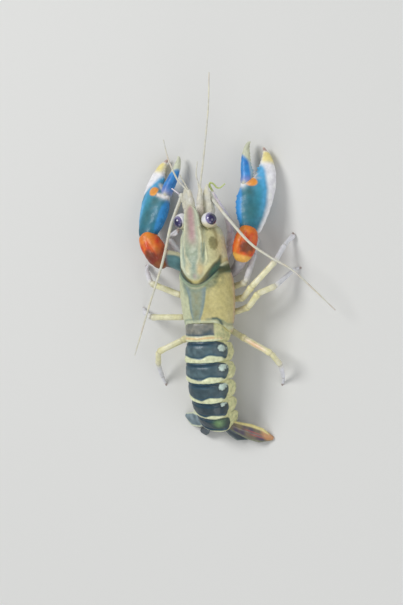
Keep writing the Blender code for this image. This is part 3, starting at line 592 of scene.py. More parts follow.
# Rostrum: y, half width, height of its margins, thickness, depth of its trough
ROSTRUM = (
    (28.0, 3.6, 29.6, 4.5, 0.1),
    (30.0, 4.0, 29.8, 4.5, 0.3),
    (36.0, 4.4, 29.9, 3.8, 0.7),
    (41.0, 3.9, 29.9, 3.0, 1.0),
    (45.0, 3.5, 29.9, 2.6, 1.1),
    (48.6, 2.8, 29.9, 2.2, 0.9),
    (50.6, 1.5, 30.1, 1.6, 0.3),
    (51.7, 0.5, 30.4, 1.0, 0.0),
)

# The same section's outline: share of the half width, and share of the trough's depth, a height, or share of
# the thickness
TROUGH = ((0.62, 0.3), (0.4, 0.75), (0.0, 1.0), (-0.4, 0.75), (-0.62, 0.3))
RIM = ((1.0, 0.0), (0.93, 0.22), (0.8, 0.15))
UNDERSIDE = ((-1.0, 0.5), (-0.8, 0.75), (-0.5, 0.92), (0.0, 1.0), (0.5, 0.92), (0.8, 0.75), (1.0, 0.5))

GROOVE_Y = 16.7
GROOVE_BEND = 0.08
GROOVE_REACH = 9.4

# How far the dark band before the groove reaches forward, by distance from the middle line
GROOVE_BAND = ((0.0, 0.9), (3.0, 1.4), (6.0, 2.2), (9.0, 2.7))

# Keels of the head: x from the middle line and y, from front to back, inner ones first
INNER_KEELS = (
    ((3.0, 41.3), (3.4, 38.8), (3.4, 35.2), (2.8, 32.0), (2.7, 28.1), (1.8, 25.3)),
    ((-3.9, 40.5), (-4.6, 34.6), (-4.4, 30.1), (-3.2, 27.2), (-1.7, 25.0)),
)
OUTER_KEELS = (
    ((4.2, 40.6), (4.3, 37.0), (4.7, 34.3), (5.3, 30.9), (5.6, 27.1), (4.7, 25.3)),
    ((-7.4, 38.6), (-7.8, 34.7), (-6.8, 25.7), (-4.8, 22.8), (-2.4, 20.6)),
)
KEEL_RADIUS = 0.5
BROW_SPINES = (((5.9, 40.0), (5.8, 41.8, 27.2)), ((-6.4, 40.3), (-6.4, 42.0, 27.3)))
BROW_SPINE_RADIUS = 0.45

# Lines of paint and relief, in the same way
CHEEK_LINE = ((7.7, 42.6), (9.0, 39.0), (9.6, 36.9), (10.0, 33.4), (9.9, 30.3), (10.0, 28.4))
BROW_LINE = ((3.7, 41.3), (5.7, 40.3), (7.0, 41.1))
RIGHT_STRIP = ((4.4, 34.4), (4.3, 30.6), (4.5, 27.4), (4.0, 25.8))
LEFT_STRIP = ((-5.6, 33.0), (-5.5, 28.4), (-4.6, 24.8))
SIDE_KEEL = ((9.6, 24.7), (10.2, 25.7), (10.7, 26.7))
CRESCENT = ((5.8, 1.9), (7.2, 1.9), (8.0, 1.0), (8.5, -0.7))
CRESCENT_FRONT = ((6.2, 2.9), (7.6, 2.9), (9.0, 1.6))
CRESCENT_REAR = ((5.6, 0.7), (6.8, -0.2), (7.6, -1.8))

# The areola's middle line and half width along y
AREOLA = ((-2.0, -1.4, 1.7), (1.5, -1.4, 1.9), (4.0, -1.0, 2.7), (8.0, -0.5, 3.5), (12.0, -0.2, 4.0),
          (14.5, -0.3, 4.5), (18.0, -0.6, 5.2))


def lean(y):
    return read(LEAN, y)


def from_middle(p):
    """Points with x counted from the carapace's middle line."""
    return np.column_stack((p[:, 0] - lean(p[:, 1]), p[:, 1:]))


def shell_top(x, y):
    """Height of the carapace at a distance x from its middle line."""
    half, crown, _ = stations(CARAPACE, y).T
    ratio = np.minimum(np.abs(x) / half, 1.0)
    return WAIST + (crown - WAIST) * (1 - ratio ** CROWN_POWER) ** (1 / CROWN_POWER)


def rear_lobe(y, across):
    """How far the carapace's rear corners reach back, across being a share of its half width."""
    return REAR_LOBE * np.maximum(0.0, 1 - y / REAR_LOBE_REACH) ** 2 * across ** REAR_LOBE_POWER


def shell_clay():
    y = np.concatenate((np.linspace(0, FRONT_BEND, 90), np.linspace(FRONT_BEND + 0.4, CARAPACE[-1][0], 16)))
    outline = oval(128, CROWN_POWER, BELLY_POWER)
    back = rear_lobe(y[:, None], outline[0])
    return hull("shell", y, stations(CARAPACE, y).T, WAIST, outline, lean(y), back)


def rostrum_clay():
    y = places_in(ROSTRUM, 70)
    half, height, thick, dip = stations(ROSTRUM, y).T
    left_rim = [(-u, v) for u, v in reversed(RIM)]
    rings = []
    for i in range(len(y)):
        outline = [*RIM, *((u, -v * dip[i]) for u, v in TROUGH), *left_rim,
                   *((u, -v * thick[i]) for u, v in UNDERSIDE)]
        rings.append([(lean(y[i]) + u * half[i], y[i], height[i] + v) for u, v in outline])
    return loft("rostrum", rings)


def ridge_clay(keel):
    plan = route_through([(x, y, 0) for x, y in keel], 40)
    plan[:, 2] = shell_top(plan[:, 0], plan[:, 1])
    plan[:, 0] += lean(plan[:, 1])
    swell = 0.55 + 0.45 * np.sin(math.pi * steps(len(plan)) ** 0.7)
    return tube("ridge", plan, KEEL_RADIUS * swell, sides=10)


def groove_distance(q):
    """Distance to the cervical groove, positive in front of it; q has x from the middle line."""
    across = np.minimum(np.abs(q[:, 0]), GROOVE_REACH)
    return (q[:, 1] - GROOVE_Y - GROOVE_BEND * across ** 2) / np.sqrt(1 + (2 * GROOVE_BEND * across) ** 2)


def margin_distance(q):
    """Distance in front of the carapace's rear margin."""
    half = stations(CARAPACE, np.minimum(q[:, 1], WIDE_END))[:, 0]
    across = np.minimum(np.abs(q[:, 0]) / half, 1.0)
    station = q[:, 1]
    for _ in range(4):
        station = q[:, 1] + rear_lobe(station, across)
    return station


def areola(q):
    """Distance from the areola's middle line and its half width, at each point."""
    middle, half = stations(AREOLA, q[:, 1]).T
    return q[:, 0] - middle, half


def line_distance(q, line):
    """Distance in plan from each point to a line of (x, y) points."""
    line = np.array(line, float)
    best = np.full(len(q), np.inf)
    for a, b in zip(line, line[1:]):
        along = b - a
        share = np.clip(((q[:, :2] - a) @ along) / (along @ along), 0.0, 1.0)
        best = np.minimum(best, np.hypot(*(q[:, :2] - a - share[:, None] * along).T))
    return best


def streak(q, line, width):
    """1 on a line in plan, fading out beside it."""
    return near(line_distance(q, line), width)


def blot(q, x, y, wide, long, turn=0.0, core=1.0):
    """1 at the middle of a soft oval spot in plan, turned by degrees, fading out; a core above 1 fills it."""
    angle = math.radians(turn)
    away = q[:, :2] - (x, y)
    across = away[:, 0] * math.cos(angle) + away[:, 1] * math.sin(angle)
    along = away[:, 1] * math.cos(angle) - away[:, 0] * math.sin(angle)
    return np.minimum(core * near(np.hypot(across / wide, along / long), 1.0), 1.0)


def shell_relief(p, n):
    q = from_middle(p)
    x, y, z = q.T
    on_back = ramp(z, 15.0, 19.0)
    gap = groove_distance(q)
    across, half = areola(q)
    rim = margin_distance(q)
    groove = 0.18 * near(gap + 1.6, 0.9) - 0.75 * near(gap, 0.8)
    stripe = -0.16 * near(np.abs(np.abs(across) - half), 0.5) * ramp(gap, -0.8, -2.0)
    bulges = 0.3 * (blot(q, 2.6, 23.4, 1.4, 2.2) + blot(q, -3.1, 23.4, 1.4, 2.4))
    short_keel = 0.2 * streak(q, SIDE_KEEL, 0.35)
    rear_rim = (0.14 * near(rim - 0.5, 0.5) - 0.2 * near(rim - 1.5, 0.4)) * ramp(y, 9.0, 6.0)
    lower_edge = -0.12 * near(z - 13.2, 0.5) * ramp(np.abs(x), 6.0, 8.0)
    grain = 0.05 * mottle(q, 4.0, 3) + 0.03 * mottle(q, 1.6, 4)
    return on_back * (groove + stripe + bulges + short_keel) + rear_rim + lower_edge + grain


def flank_layers(q, gap):
    """The back's beige, the pale left flank and the pink tan lower edge."""
    x, y, z = q.T
    rear = ramp(gap, 0.0, -1.5)
    return (
        (CREAM, 0.2 * (0.5 + 0.5 * mottle(q, 7.0, 1))),
        (KHAKI, 0.16 * rear * patches(q, 3.4, 7, -0.2, 1.0)),
        (PALE_YELLOW, 0.9 * ramp(x, 2.5, 5.0) * ramp(z, 16, 20) * ramp(gap, 0, 2)),
        (CREAM_YELLOW, 0.5 * rear * ramp(np.abs(x), 4.5, 7.0) * ramp(z, 20, 25)),
        (MINT, 0.75 * ramp(x, -1.8, -5.0)),
        (ROSE_TAN, 0.7 * ramp(z, 19.5, 15.5) * ramp(y, 36, 27)),
        (CREAM, 0.6 * ramp(z, 15.5, 12.5)),
    )


def head_layers(q, gap, back):
    """Grey green between the keels, pink on the rostrum, the pale left side, and the right cheek's patch."""
    x, y, z = q.T
    middle = ramp(np.abs(x + 0.4), 5.4, 3.6) * ramp(gap, 1.2, 3.4)
    rim = np.abs(x) - stations(ROSTRUM, y)[:, 0]
    cheek = line_distance(q, CHEEK_LINE)
    rough = 0.06 * mottle(q, 1.3, 6)
    return (
        (MINT_GREY, 0.9 * middle),
        (SAGE, 0.6 * middle * patches(q, 2.4, 9, -0.3, 0.9) * ramp(y, 39, 34)),
        (SAGE, 0.45 * middle * ramp(y, 36, 32)),
        (ROSE_GREY, 0.7 * near(x, 2.9) * window(y, 30.0, 38.0, 50.5, 53.0)),
        (PINK, 0.75 * near(x + 0.5, 1.6) * window(y, 33.0, 38.5, 49.5, 52.5)),
        (MINT_GREY, 0.6 * near(x - 2.1, 0.9) * ramp(y, 34.0, 38.0)),
        (LIME_WHITE, near(rim + 0.4, 0.8) * ramp(y, 36, 41) * np.where(x > 0, 0.3, 0.5)),
        (MINT_WHITE, 0.75 * ramp(x, -3.2, -5.2) * ramp(gap, 0.5, 2.5)),
        (ROSE_GREY, 0.3 * ramp(z, 20.0, 17.5) * ramp(y, 27, 30) * ramp(x, 0, 4)),
        (KHAKI, 0.7 * near(cheek - 1.1, 0.5) * ramp(y, 28, 31) * ramp(x, 8.8, 8.2)),
        (LIME_WHITE, 0.85 * near(cheek, 0.6)),
        (OLIVE, 0.66 * ramp(blot(q, 7.4, 34.5, 1.4, 3.2, 8) + rough, 0.28, 0.58)),
        (UMBER_GREEN, 0.22 * ramp(blot(q, 7.3, 35.4, 1.0, 2.2, 8) + rough, 0.3, 0.8)),
        (OLIVE, 0.4 * blot(q, -7.6, 36.5, 1.2, 2.4)),
        (UMBER_GREEN, 0.7 * streak(q, BROW_LINE, 0.5) * back),
    )


def keel_layers(q, back):
    """Broad soft keel lines with teal strips beside them, and the swellings before the groove."""
    rows = []
    for keel in INNER_KEELS:
        away = line_distance(q, keel)
        rows.append((TEAL_GREY, 0.3 * near(away - 1.25, 0.55) * ramp(q[:, 1], 35, 31) * back))
        rows.append((KEEL_CREAM, 0.5 * near(away, 0.9) * back))
    return rows + [(LIME_WHITE, 0.5 * streak(q, keel, 0.9) * back) for keel in OUTER_KEELS] + [
        (TEAL_GREY, 0.6 * streak(q, RIGHT_STRIP, 0.55) * back),
        (TEAL_GREY, 0.4 * streak(q, LEFT_STRIP, 0.6) * back),
        (APRICOT, 0.75 * blot(q, 2.9, 23.2, 1.4, 2.7, -8, core=1.3) * back),
        (CREAM, 0.65 * blot(q, -3.1, 23.4, 1.2, 2.6, 8, core=1.3) * back),
        (TEAL_GREY, 0.45 * blot(q, 0.0, 24.6, 0.8, 3.6) * back),
        (PINK, 0.45 * blot(q, 0.1, 20.3, 1.0, 1.2) * back),
    ]


def groove_layers(q, gap, back):
    """The cervical groove, the mottled bands before and behind it, and the short keel at its side end."""
    x, _, z = q.T
    side = np.abs(x)
    coarse = mottle(q, 7.0, 1)
    wide = read(GROOVE_BAND, side) * (1 + 0.12 * coarse)
    high_up = ramp(z, 13.5, 16.5)
    band = ramp(gap, wide + 0.7, wide - 0.3) * ramp(gap, -0.4, 0.1) * high_up * ramp(side, 9.9, 9.2)
    left = window(gap, -6.5, -4.0, -1.6, -1.0) * window(x, -7.5, -5.5, -3.5, -2.0)
    speckled = window(gap, -5.5, -2.5, -1.3, -0.7) * window(x, 2.5, 4.5, 9.5, 11.0)
    speckles = 0.5 + 0.12 * mottle(q, 1.3, 6) + 0.35 * mottle(q, 3.0, 13)
    return (
        (OLIVE, band * ramp(side, 0.6, 2.4) * np.where(x > 0, 0.72, 0.85)),
        (DEEP_TEAL, 0.75 * band * ramp(side + 0.4 * coarse, 2.2, 7.5) * ramp(gap, wide + 0.3, wide - 0.9)),
        (UMBER_GREEN, 0.4 * band * window(side, 1.5, 3.5, 5.5, 8.0)),
        (JADE, 0.7 * near(gap - 0.7, 0.9) * window(x, 5.0, 7.5, 9.0, 10.0) * high_up),
        (DEEP_TEAL, 0.8 * near(gap, 0.5) * high_up),
        (TEAL_PEARL, 0.8 * near(gap + 0.85, 0.5) * high_up),
        (SAGE, 0.7 * window(gap, -3.8, -2.5, -1.6, -1.0) * ramp(side, 9.5, 6.5) * back),
        (SAGE_DARK, 0.7 * left * back),
        (MOSS_GREY, np.clip(speckled * speckles, 0, 0.9)),
        (MOSS_DARK, 0.85 * blot(q, 10.2, 23.4, 1.2, 2.5, -20, core=1.6)),
        (LIME_WHITE, 0.85 * streak(q, SIDE_KEEL, 0.3)),
    )


def rear_layers(q, gap, back):
    """The areola's stripe, the rear rim, the dark crescent near the right rear corner, and fine freckles."""
    x, y, z = q.T
    across, half = areola(q)
    beside = np.abs(across)
    inside = ramp(beside, half + 0.35, half - 0.35) * ramp(gap, -1.6, -2.6) * ramp(y, -0.5, 1.5)
    rim = margin_distance(q)
    return (
        (AREOLA_GREY, 0.85 * inside),
        (BLUE_GREY, 0.6 * inside * ramp(beside, 0.45 * half, 0.9 * half)),
        (KHAKI, 0.3 * inside * near(across, 1.4) * patches(q, 3.0, 12, -0.4, 0.6)),
        (TEAL_GREY, 0.3 * near(beside - half + 0.3, 0.6) * ramp(gap, -1.8, -2.8) * ramp(y, 1, 5)),
        (MINT, 0.7 * near(rim - 0.4, 0.8) * ramp(y, 8, 5)),
        (CREAM_YELLOW, 0.5 * streak(q, CRESCENT_FRONT, 0.7)),
        (DEEP_TEAL, 0.9 * streak(q, CRESCENT, 0.55) * ramp(z, 15, 19)),
        (LIME_WHITE, 0.8 * streak(q, CRESCENT_REAR, 0.6)),
        (TEAL_GREY, 0.5 * near(rim - 1.6, 0.5) * ramp(y, 7, 4) * ramp(np.abs(x), 2, 4)),
        (KHAKI, 0.12 * patches(q, 1.3, 6, 0.5, 1.3) * back),
    )


def shell_tones(p, n):
    q = from_middle(p)
    gap = groove_distance(q)
    back = ramp(n[:, 2], 0.1, 0.5)
    return layers(BEIGE, *flank_layers(q, gap), *head_layers(q, gap, back), *keel_layers(q, back),
                  *groove_layers(q, gap, back), *rear_layers(q, gap, back))


def make_carapace():
    clay = [shell_clay(), rostrum_clay()] + [ridge_clay(keel) for keel in INNER_KEELS + OUTER_KEELS]
    for (x, y), tip in BROW_SPINES:
        foot = (x + lean(y), y, shell_top(x, y)[0] - 0.1)
        clay.append(spine(foot, (tip[0] + lean(tip[1]), *tip[1:]), BROW_SPINE_RADIUS))
    shell = melt("carapace_shell", clay, VOXEL["shell"], rounds=5)
    emboss(shell, shell_relief)
    dress(shell, shell_tones, SHELL_LOOK, "shell", "carapace")


# Head front, eyes and feelers

# y, half width, top and underside height
FACE = (
    (40.6, 7.0, 26.4, 14.4),
    (41.8, 7.1, 26.0, 14.4),
    (44.0, 6.6, 25.4, 14.6),
    (46.0, 5.9, 25.0, 15.2),
    (46.9, 4.6, 24.2, 16.4),
    (47.2, 2.6, 22.6, 18.0),
)
FACE_WAIST = 19.5
FACE_POWERS = (2.6, 2.4)

STALK_RADIUS = 3.35
STALK_ROOT_RADII = (1.7, 2.2)
CORNEA_RADIUS = 2.7
CORNEA_REACH = 1.3
EYES = {
    "right": dict(root=(3.6, 43.4, 23.4), centre=(5.7, 44.5, 26.5), aim=(0.79, 0.24, 0.56)),
    "left": dict(root=(-5.2, 43.4, 23.4), centre=(-6.9, 44.6, 26.5), aim=(-0.5, -0.2, 0.84)),
}
# The way light falls on the eyes in their paint: the stalk's painted shade and the cornea's painted glint are
# measured from it
EYE_LIGHT = unit((-0.6, 0.5, 0.6))

# Routes from the head outward, and radii or half widths spread along them
ANTENNA_BASES = {
    "right": ((3.4, 45.8, 19.4), (3.6, 49.0, 19.5), (3.9, 53.0, 19.8), (3.4, 56.2, 20.2)),
    "left": ((-5.8, 45.8, 19.4), (-6.6, 49.0, 19.5), (-7.8, 52.8, 19.8), (-9.3, 55.8, 20.2)),
}
ANTENNA_BASE_RADII = (2.1, 2.2, 1.8, 1.4)
ANTENNA_WHIPS = {
    "right": ((3.4, 55.7, 20.2), (8.2, 50.3, 21.2), (12.6, 45.2, 22.0), (22.9, 33.8, 22.5),
              (31.8, 27.0, 20.8), (41.3, 20.3, 17.5), (55.8, 3.5, 9.0)),
    "left": ((-9.3, 55.8, 20.2), (-12.5, 46.6, 22.5), (-14.2, 41.8, 23.0), (-18.9, 27.1, 22.0),
             (-27.0, 10.0, 18.5), (-33.0, -4.0, 16.5), (-37.0, -13.0, 15.0)),
}
WHIP_RADII = (0.85, 0.7, 0.6, 0.5, 0.4, 0.26)
SCALES = {
    "right": (
        ((3.4, 46.2, 22.0), (3.4, 49.5, 22.0), (3.0, 53.0, 22.0), (3.6, 57.6, 22.6), (4.1, 60.2, 23.0)),
        (1.8, 2.1, 2.1, 1.6, 0.5),
    ),
    "left": (
        ((-5.0, 46.2, 22.0), (-5.4, 49.5, 22.0), (-5.8, 53.2, 22.0), (-6.0, 56.4, 22.2), (-5.8, 58.4, 22.4)),
        (1.7, 1.8, 1.9, 2.0, 1.5),
    ),
}
SCALE_RIB_RADII = (0.3, 0.35, 0.2)
SCALE_RIB_PLACE = 0.55
SCALE_RIB_HEIGHT = 0.2
SCALE_THICK = 0.4
ANTENNULES = {
    "right": (
        ((0.6, 46.0, 23.4), (0.6, 50.0, 23.8), (0.7, 54.0, 23.8), (1.0, 57.8, 23.6)),
        (((1.1, 57.0, 23.6), (1.2, 60.0, 23.9), (3.8, 69.6, 26.0), (8.4, 91.9, 29.0), (9.5, 107.9, 29.0)),
         ((1.1, 57.0, 23.6), (0.4, 60.5, 24.2), (0.0, 64.5, 25.2), (1.1, 69.9, 26.0))),
    ),
    "left": (
        ((-3.0, 46.0, 23.4), (-3.1, 50.0, 23.8), (-3.4, 54.0, 24.1), (-4.0, 57.4, 24.2)),
        (((-4.0, 56.8, 24.2), (-6.4, 59.6, 24.5), (-8.8, 63.1, 26.0), (-12.0, 72.0, 27.4),
          (-13.6, 80.0, 28.0)),
         ((-4.0, 56.8, 24.2), (-6.0, 60.2, 23.4), (-8.4, 64.8, 23.6))),
    ),
}
PEDUNCLE_RADII = (1.5, 1.6, 1.4, 0.9)
FLAGELLUM_RADII = (0.5, 0.27)

# Their fine rings: pitch in millimetres, and depth as a share of the radius
WHIP_RINGS = (0.75, 0.09)
FLAGELLUM_RINGS = (0.8, 0.08)

# Their joints, and the arms': depth as a share of the radius, and width and places as shares of the length
BASE_NIPS = (0.14, 0.025, 0.42, 0.72)
PEDUNCLE_NIPS = (0.16, 0.03, 0.45, 0.75)
ARM_NIPS = (0.16, 0.025, 0.3)


def make_face():
    y = places_in(FACE, 30)
    clay = hull("face", y, stations(FACE, y).T, FACE_WAIST, oval(64, *FACE_POWERS), lean(y))

    def tones(p, n):
        return layers(CREAM, (SAGE, 0.35 + 0.2 * mottle(p, 4.0, 5)), (ROSE_TAN, 0.4 * ramp(p[:, 2], 19, 15)))

    dress(melt("face_shell", [clay], VOXEL["soft"], rounds=5), tones, SOFT_LOOK, "soft_shell", "face")


def make_eye(word):
    root, centre, look = (np.array(EYES[word][key]) for key in ("root", "centre", "aim"))
    look = unit(look)
    seat = centre + look * CORNEA_REACH
    path = route_through((root, (root + centre) / 2, centre), 12)
    stem = tube("stem", path, spread(STALK_ROOT_RADII, steps(12)))
    bulb = ball("bulb", centre, STALK_RADIUS, segments=48, rings=32)
    stalk = melt("eyestalk_" + word + "_skin", [bulb, stem], VOXEL["thin"])

    def in_eye(p):
        """Distance ahead of the cornea's middle, and beyond its radius."""
        ahead = (p - seat) @ look
        return ahead, np.linalg.norm(p - seat - ahead[:, None] * look, axis=1) - CORNEA_RADIUS

    def collar(p, n):
        ahead, beyond = in_eye(p)
        socket = -0.35 * ramp(beyond, 0.15, -0.25) * ramp(ahead, -1.0, 0.4)
        return socket + 0.12 * near(beyond - 0.2, 0.25) * ramp(ahead, -1, 0)

    def stalk_tones(p, n):
        ahead, beyond = in_eye(p)
        return layers(WHITE,
                      # Lilac: a faint tint over the whole stalk, and painted shade that deepens on the side
                      # turned away from EYE_LIGHT
                      (LILAC, 0.5 * ramp(n @ EYE_LIGHT, 0.6, -0.2) + 0.15),
                      (CREAM_YELLOW, 0.6 * ramp(p[:, 1], 44.5, 42.2)),
                      (PLUM, 0.55 * near(beyond + 0.2, 0.28) * ramp(ahead, -1.2, 0.2)))

    def cornea_tones(p, n):
        rim = ramp(in_eye(p)[1] / CORNEA_RADIUS, -0.45, -0.05)
        return layers(VIOLET,
                      (INK, 0.45 + 0.25 * mottle(p, 2.0, 8)),
                      # Painted glint: paler violet near the cornea's rim, on the side turned towards
                      # EYE_LIGHT
                      (VIOLET_GLINT, 0.75 * rim * ramp(n @ EYE_LIGHT, -0.3, 0.7)))

    emboss(stalk, collar)
    dress(stalk, stalk_tones, STALK_LOOK, "eyestalk", "eyestalk_" + word)
    cornea = ball("eye_" + word + "_cornea", seat, CORNEA_RADIUS, segments=64, rings=44, axis=look)
    dress(cornea, cornea_tones, EYE_LOOK, "eye", "eye_" + word)


def ringed(path, radii, pitch, depth):
    """A limb's path and radii with a fine groove every pitch millimetres."""
    length = lengths(path)[-1]
    count = int(length / pitch * 4)
    share = steps(count)
    rings = 1 - depth * near(np.sin(math.pi * share * length / pitch), 0.5)
    return even(path, count), spread(radii, share) * rings


def feeler_tones(p, n):
    return layers(CREAM,
                  (GREY_WHITE, 0.75 + 0.2 * mottle(p, 5.0, 11)),
                  (ROSE_TAN, 0.25 * patches(p, 9.0, 12, 0.2, 1.0)))


def make_feelers(word):
    share = steps(48)
    radii = spread(ANTENNA_BASE_RADII, share) * nips(share, *BASE_NIPS)
    base = tube("base", route_through(ANTENNA_BASES[word], 48), radii, sides=24)
    base = melt("antenna_base_" + word + "_shell", [base], VOXEL["thin"], rounds=2)

    path = route_through(ANTENNA_WHIPS[word], 200)
    whip = tube("antenna_whip_" + word + "_rings", *ringed(path, WHIP_RADII, *WHIP_RINGS), sides=12)

    route, half_widths = SCALES[word]
    path, share = even(route, 40), steps(40)
    beside = spread(half_widths, share)[:, None] * SCALE_RIB_PLACE
    rib = path + X * SIDES[word] * beside + Z * SCALE_RIB_HEIGHT
    leaf = [blade("leaf", path, half_widths, SCALE_THICK, X, sides=24),
            tube("rib", rib, spread(SCALE_RIB_RADII, share), sides=8)]
    scale = melt("antennal_scale_" + word + "_shell", leaf, VOXEL["scale"], rounds=2)

    stem, threads = ANTENNULES[word]
    radii = spread(PEDUNCLE_RADII, share) * nips(share, *PEDUNCLE_NIPS)
    pieces = [tube("stem", route_through(stem, 40), radii, sides=20)]
    for thread in threads:
        path = route_through(thread, 150)
        pieces.append(tube("thread", *ringed(path, FLAGELLUM_RADII, *FLAGELLUM_RINGS), sides=10))
    antennule = joined("antennule_" + word + "_rings", pieces)

    for obj, node in ((base, "antenna_base_"), (whip, "antenna_whip_"), (scale, "antennal_scale_"),
                      (antennule, "antennule_")):
        dress(obj, feeler_tones, FEELER_LOOK, "feeler", node + word)


# Underside

# y, half width and underside height
STERNUM = ((0.8, 3.0, 8.8), (8.0, 3.4, 8.1), (18.0, 3.5, 7.9), (26.8, 3.2, 8.2))
STERNUM_TOP = 14.5
MOUTH = ((27.1, 2.6, 8.6), (33.0, 3.0, 8.4), (38.0, 3.6, 9.0), (41.4, 3.0, 10.6))
MOUTH_TOP = 17.5
KEEL_POWERS = (4.0, 3.0)
PLATE_LENGTH = 4.4


def plate_relief(p, n):
    """Furrows across, one for each plate, and one along the middle."""
    half_plate = PLATE_LENGTH / 2
    across = near(np.mod(p[:, 1] + half_plate, PLATE_LENGTH) - half_plate, 0.35)
    return -0.25 * across * ramp(-n[:, 2], -0.4, 0.4) - 0.3 * near(p[:, 0], 0.35) * ramp(-n[:, 2], 0, 0.8)


def soft_tones(p, n):
    return layers(CREAM,
                  (ROSE_TAN, 0.25 + 0.2 * mottle(p, 5.0, 14)),
                  (SAGE, 0.2 * patches(p, 8.0, 15, 0.0, 1.0)))


def make_keel(name, table, top, node):
    y = places_in(table, 60)
    half, low = stations(table, y).T
    clay = hull("keel", y, (half, np.full(len(y), top), low), (top + low) / 2, oval(48, *KEEL_POWERS))
    keel = melt(name, [clay], VOXEL["soft"], rounds=5)
    emboss(keel, plate_relief)
    dress(keel, soft_tones, SOFT_LOOK, "soft_shell", node)


# Claws and arms

# Distance along the claw, inner and outer edge, thickness
PALM = (
    (-0.6, -2.4, 3.0, 4.4),
    (0.0, -3.4, 3.9, 5.6),
    (4.0, -5.0, 5.9, 7.2),
    (8.0, -6.4, 7.3, 8.2),
    (13.0, -7.0, 8.5, 8.5),
    (18.0, -6.2, 9.3, 8.0),
    (21.0, -5.0, 9.6, 7.4),
    (24.4, -0.1, 9.5, 6.4),
    (28.0, 1.4, 9.0, 5.2),
    (32.0, 2.4, 7.7, 3.8),
    (35.0, 2.9, 6.1, 2.6),
    (37.4, 2.6, 4.0, 1.3),
    (38.2, 2.5, 3.2, 0.9),
)
DACTYL = (
    (19.6, -4.8, -2.4, 3.0),
    (20.4, -5.3, -1.4, 4.2),
    (22.5, -5.8, -0.5, 5.2),
    (25.0, -5.9, -0.6, 5.2),
    (28.0, -6.2, -1.3, 4.8),
    (32.0, -6.3, -2.3, 4.0),
    (35.0, -6.1, -2.8, 3.2),
    (38.0, -5.4, -3.2, 2.2),
    (39.6, -4.5, -2.9, 1.3),
    (40.3, -4.0, -2.6, 0.9),
)
CLAW_PITCH = 13.5
GAPE = (20.0, 37.6)
DACTYL_EDGE = (20.0, 40.0)
CLAW_POWER = 2.2
KNOBS = (5.5, 8.0, 10.5, 13.0, 15.5)
HINGE = (20.7, -4.5, 0.4)
HINGE_RADIUS = 1.35
KNOB_RADIUS = 0.45

# Teeth: column of the edge that bears them, first and last place, count, and the way they point
PALM_TEETH = (0, 25.6, 36.0, 8, -1)
DACTYL_TEETH = (1, 24.6, 38.0, 10, 1)
TOOTH_RADIUS = 0.42
LARGE_TOOTH_RADIUS = 0.75

# Edges of colour on the palm: distance along the claw, and distance outward
WHITE_EDGE = ((0, 3.6), (2, 4.4), (6.8, 5.9), (12, 6.8), (18.8, 6.7), (22.2, 5.9), (26.9, 4.9), (30.5, 3.5),
              (37, 1.0))
LEFT_WHITE_EDGE = ((16, 8.8), (18.9, 7.9), (21.1, 6.4), (23.9, 4.4), (28.6, 2.4), (32.8, 1.2), (36, 0.5))
BLUE_EDGE = ((3.5, -3.6), (9.6, -4.2), (14.7, -4.4), (18.0, -4.9))

# Carpus: distance along it, and radius
CARPUS = ((-0.6, 1.6), (0.0, 2.6), (2.4, 4.2), (6.0, 5.0), (10.0, 4.9), (13.0, 4.1), (15.0, 2.8), (15.6, 1.6))
CARPUS_LENGTH = 15.0
CARPUS_FLATTEN = 0.88
CARPUS_FURROW = -0.226
CARPUS_POWER = 2.3

# Its thorn: share of the carpus's length, distance inward and upward of its foot, then reach inward and along
THORN_FOOT = (0.72, 3.4, 0.6)
THORN_REACH = (2.0, 1.3)
THORN_RADIUS = 0.8
ARMS = {
    "right": dict(
        side=1, wrist=(19.1, 38.6, 13.0), heading=1.9, roll=18.5, scale=1.01,
        carpus=((15.0, 26.6, 14.6), (19.6, 41.0, 14.2)),
        route=((2.8, 20.5, 9.2), (8.0, 21.0, 9.2), (12.6, 24.8, 11.0), (16.0, 29.8, 14.4)),
        radii=(2.1, 2.1, 2.5, 2.9),
    ),
    "left": dict(
        side=-1, wrist=(-30.3, 38.2, 12.0), heading=16.1, roll=22.0, scale=0.96,
        carpus=((-21.8, 25.8, 13.2), (-30.8, 39.8, 13.0)),
        route=((-2.8, 20.5, 9.2), (-8.6, 22.0, 9.4), (-15.6, 27.2, 11.0), (-21.8, 29.2, 12.4)),
        radii=(2.1, 2.5, 3.8, 3.7),
    ),
}


def claw_frame(arm):
    """Origin, axis, outward direction and upward direction of a claw."""
    heading, pitch, roll = (math.radians(a) for a in (arm["heading"], CLAW_PITCH, arm["roll"]))
    side = arm["side"]
    turn = heading * side
    axis = np.array((math.sin(turn) * math.cos(pitch) * side, math.cos(turn) * math.cos(pitch),
                     -math.sin(pitch)))
    out = np.array((math.cos(turn) * side, -math.sin(turn), 0.0))
    up = np.cross(out, axis) * side
    outward = out * math.cos(roll) - up * math.sin(roll)
    return np.array(arm["wrist"]), axis, outward, np.cross(outward, axis) * side


def in_claw(arm, p):
    """Distance along the claw, outward and upward of each point, at the claw's design size."""
    origin, axis, outward, up = claw_frame(arm)
    away = (p - origin) / arm["scale"]
    return away @ axis, away @ outward, away @ up


def claw_point(arm, s, outward, up):
    origin, axis, out, high = claw_frame(arm)
    return origin + (axis * s + out * outward + high * up) * arm["scale"]


def claw_clay(name, arm, table):
    s = places_in(table, 150)
    inner, outer, thick = stations(table, s).T * arm["scale"]
    origin, axis, out, up = claw_frame(arm)
    middle = origin + axis * (s * arm["scale"])[:, None] + out * ((inner + outer) / 2)[:, None]
    outline = oval(72, CLAW_POWER, CLAW_POWER)
    return loft(name, sections(middle, out, up, (outer - inner) / 2, thick / 2, outline))


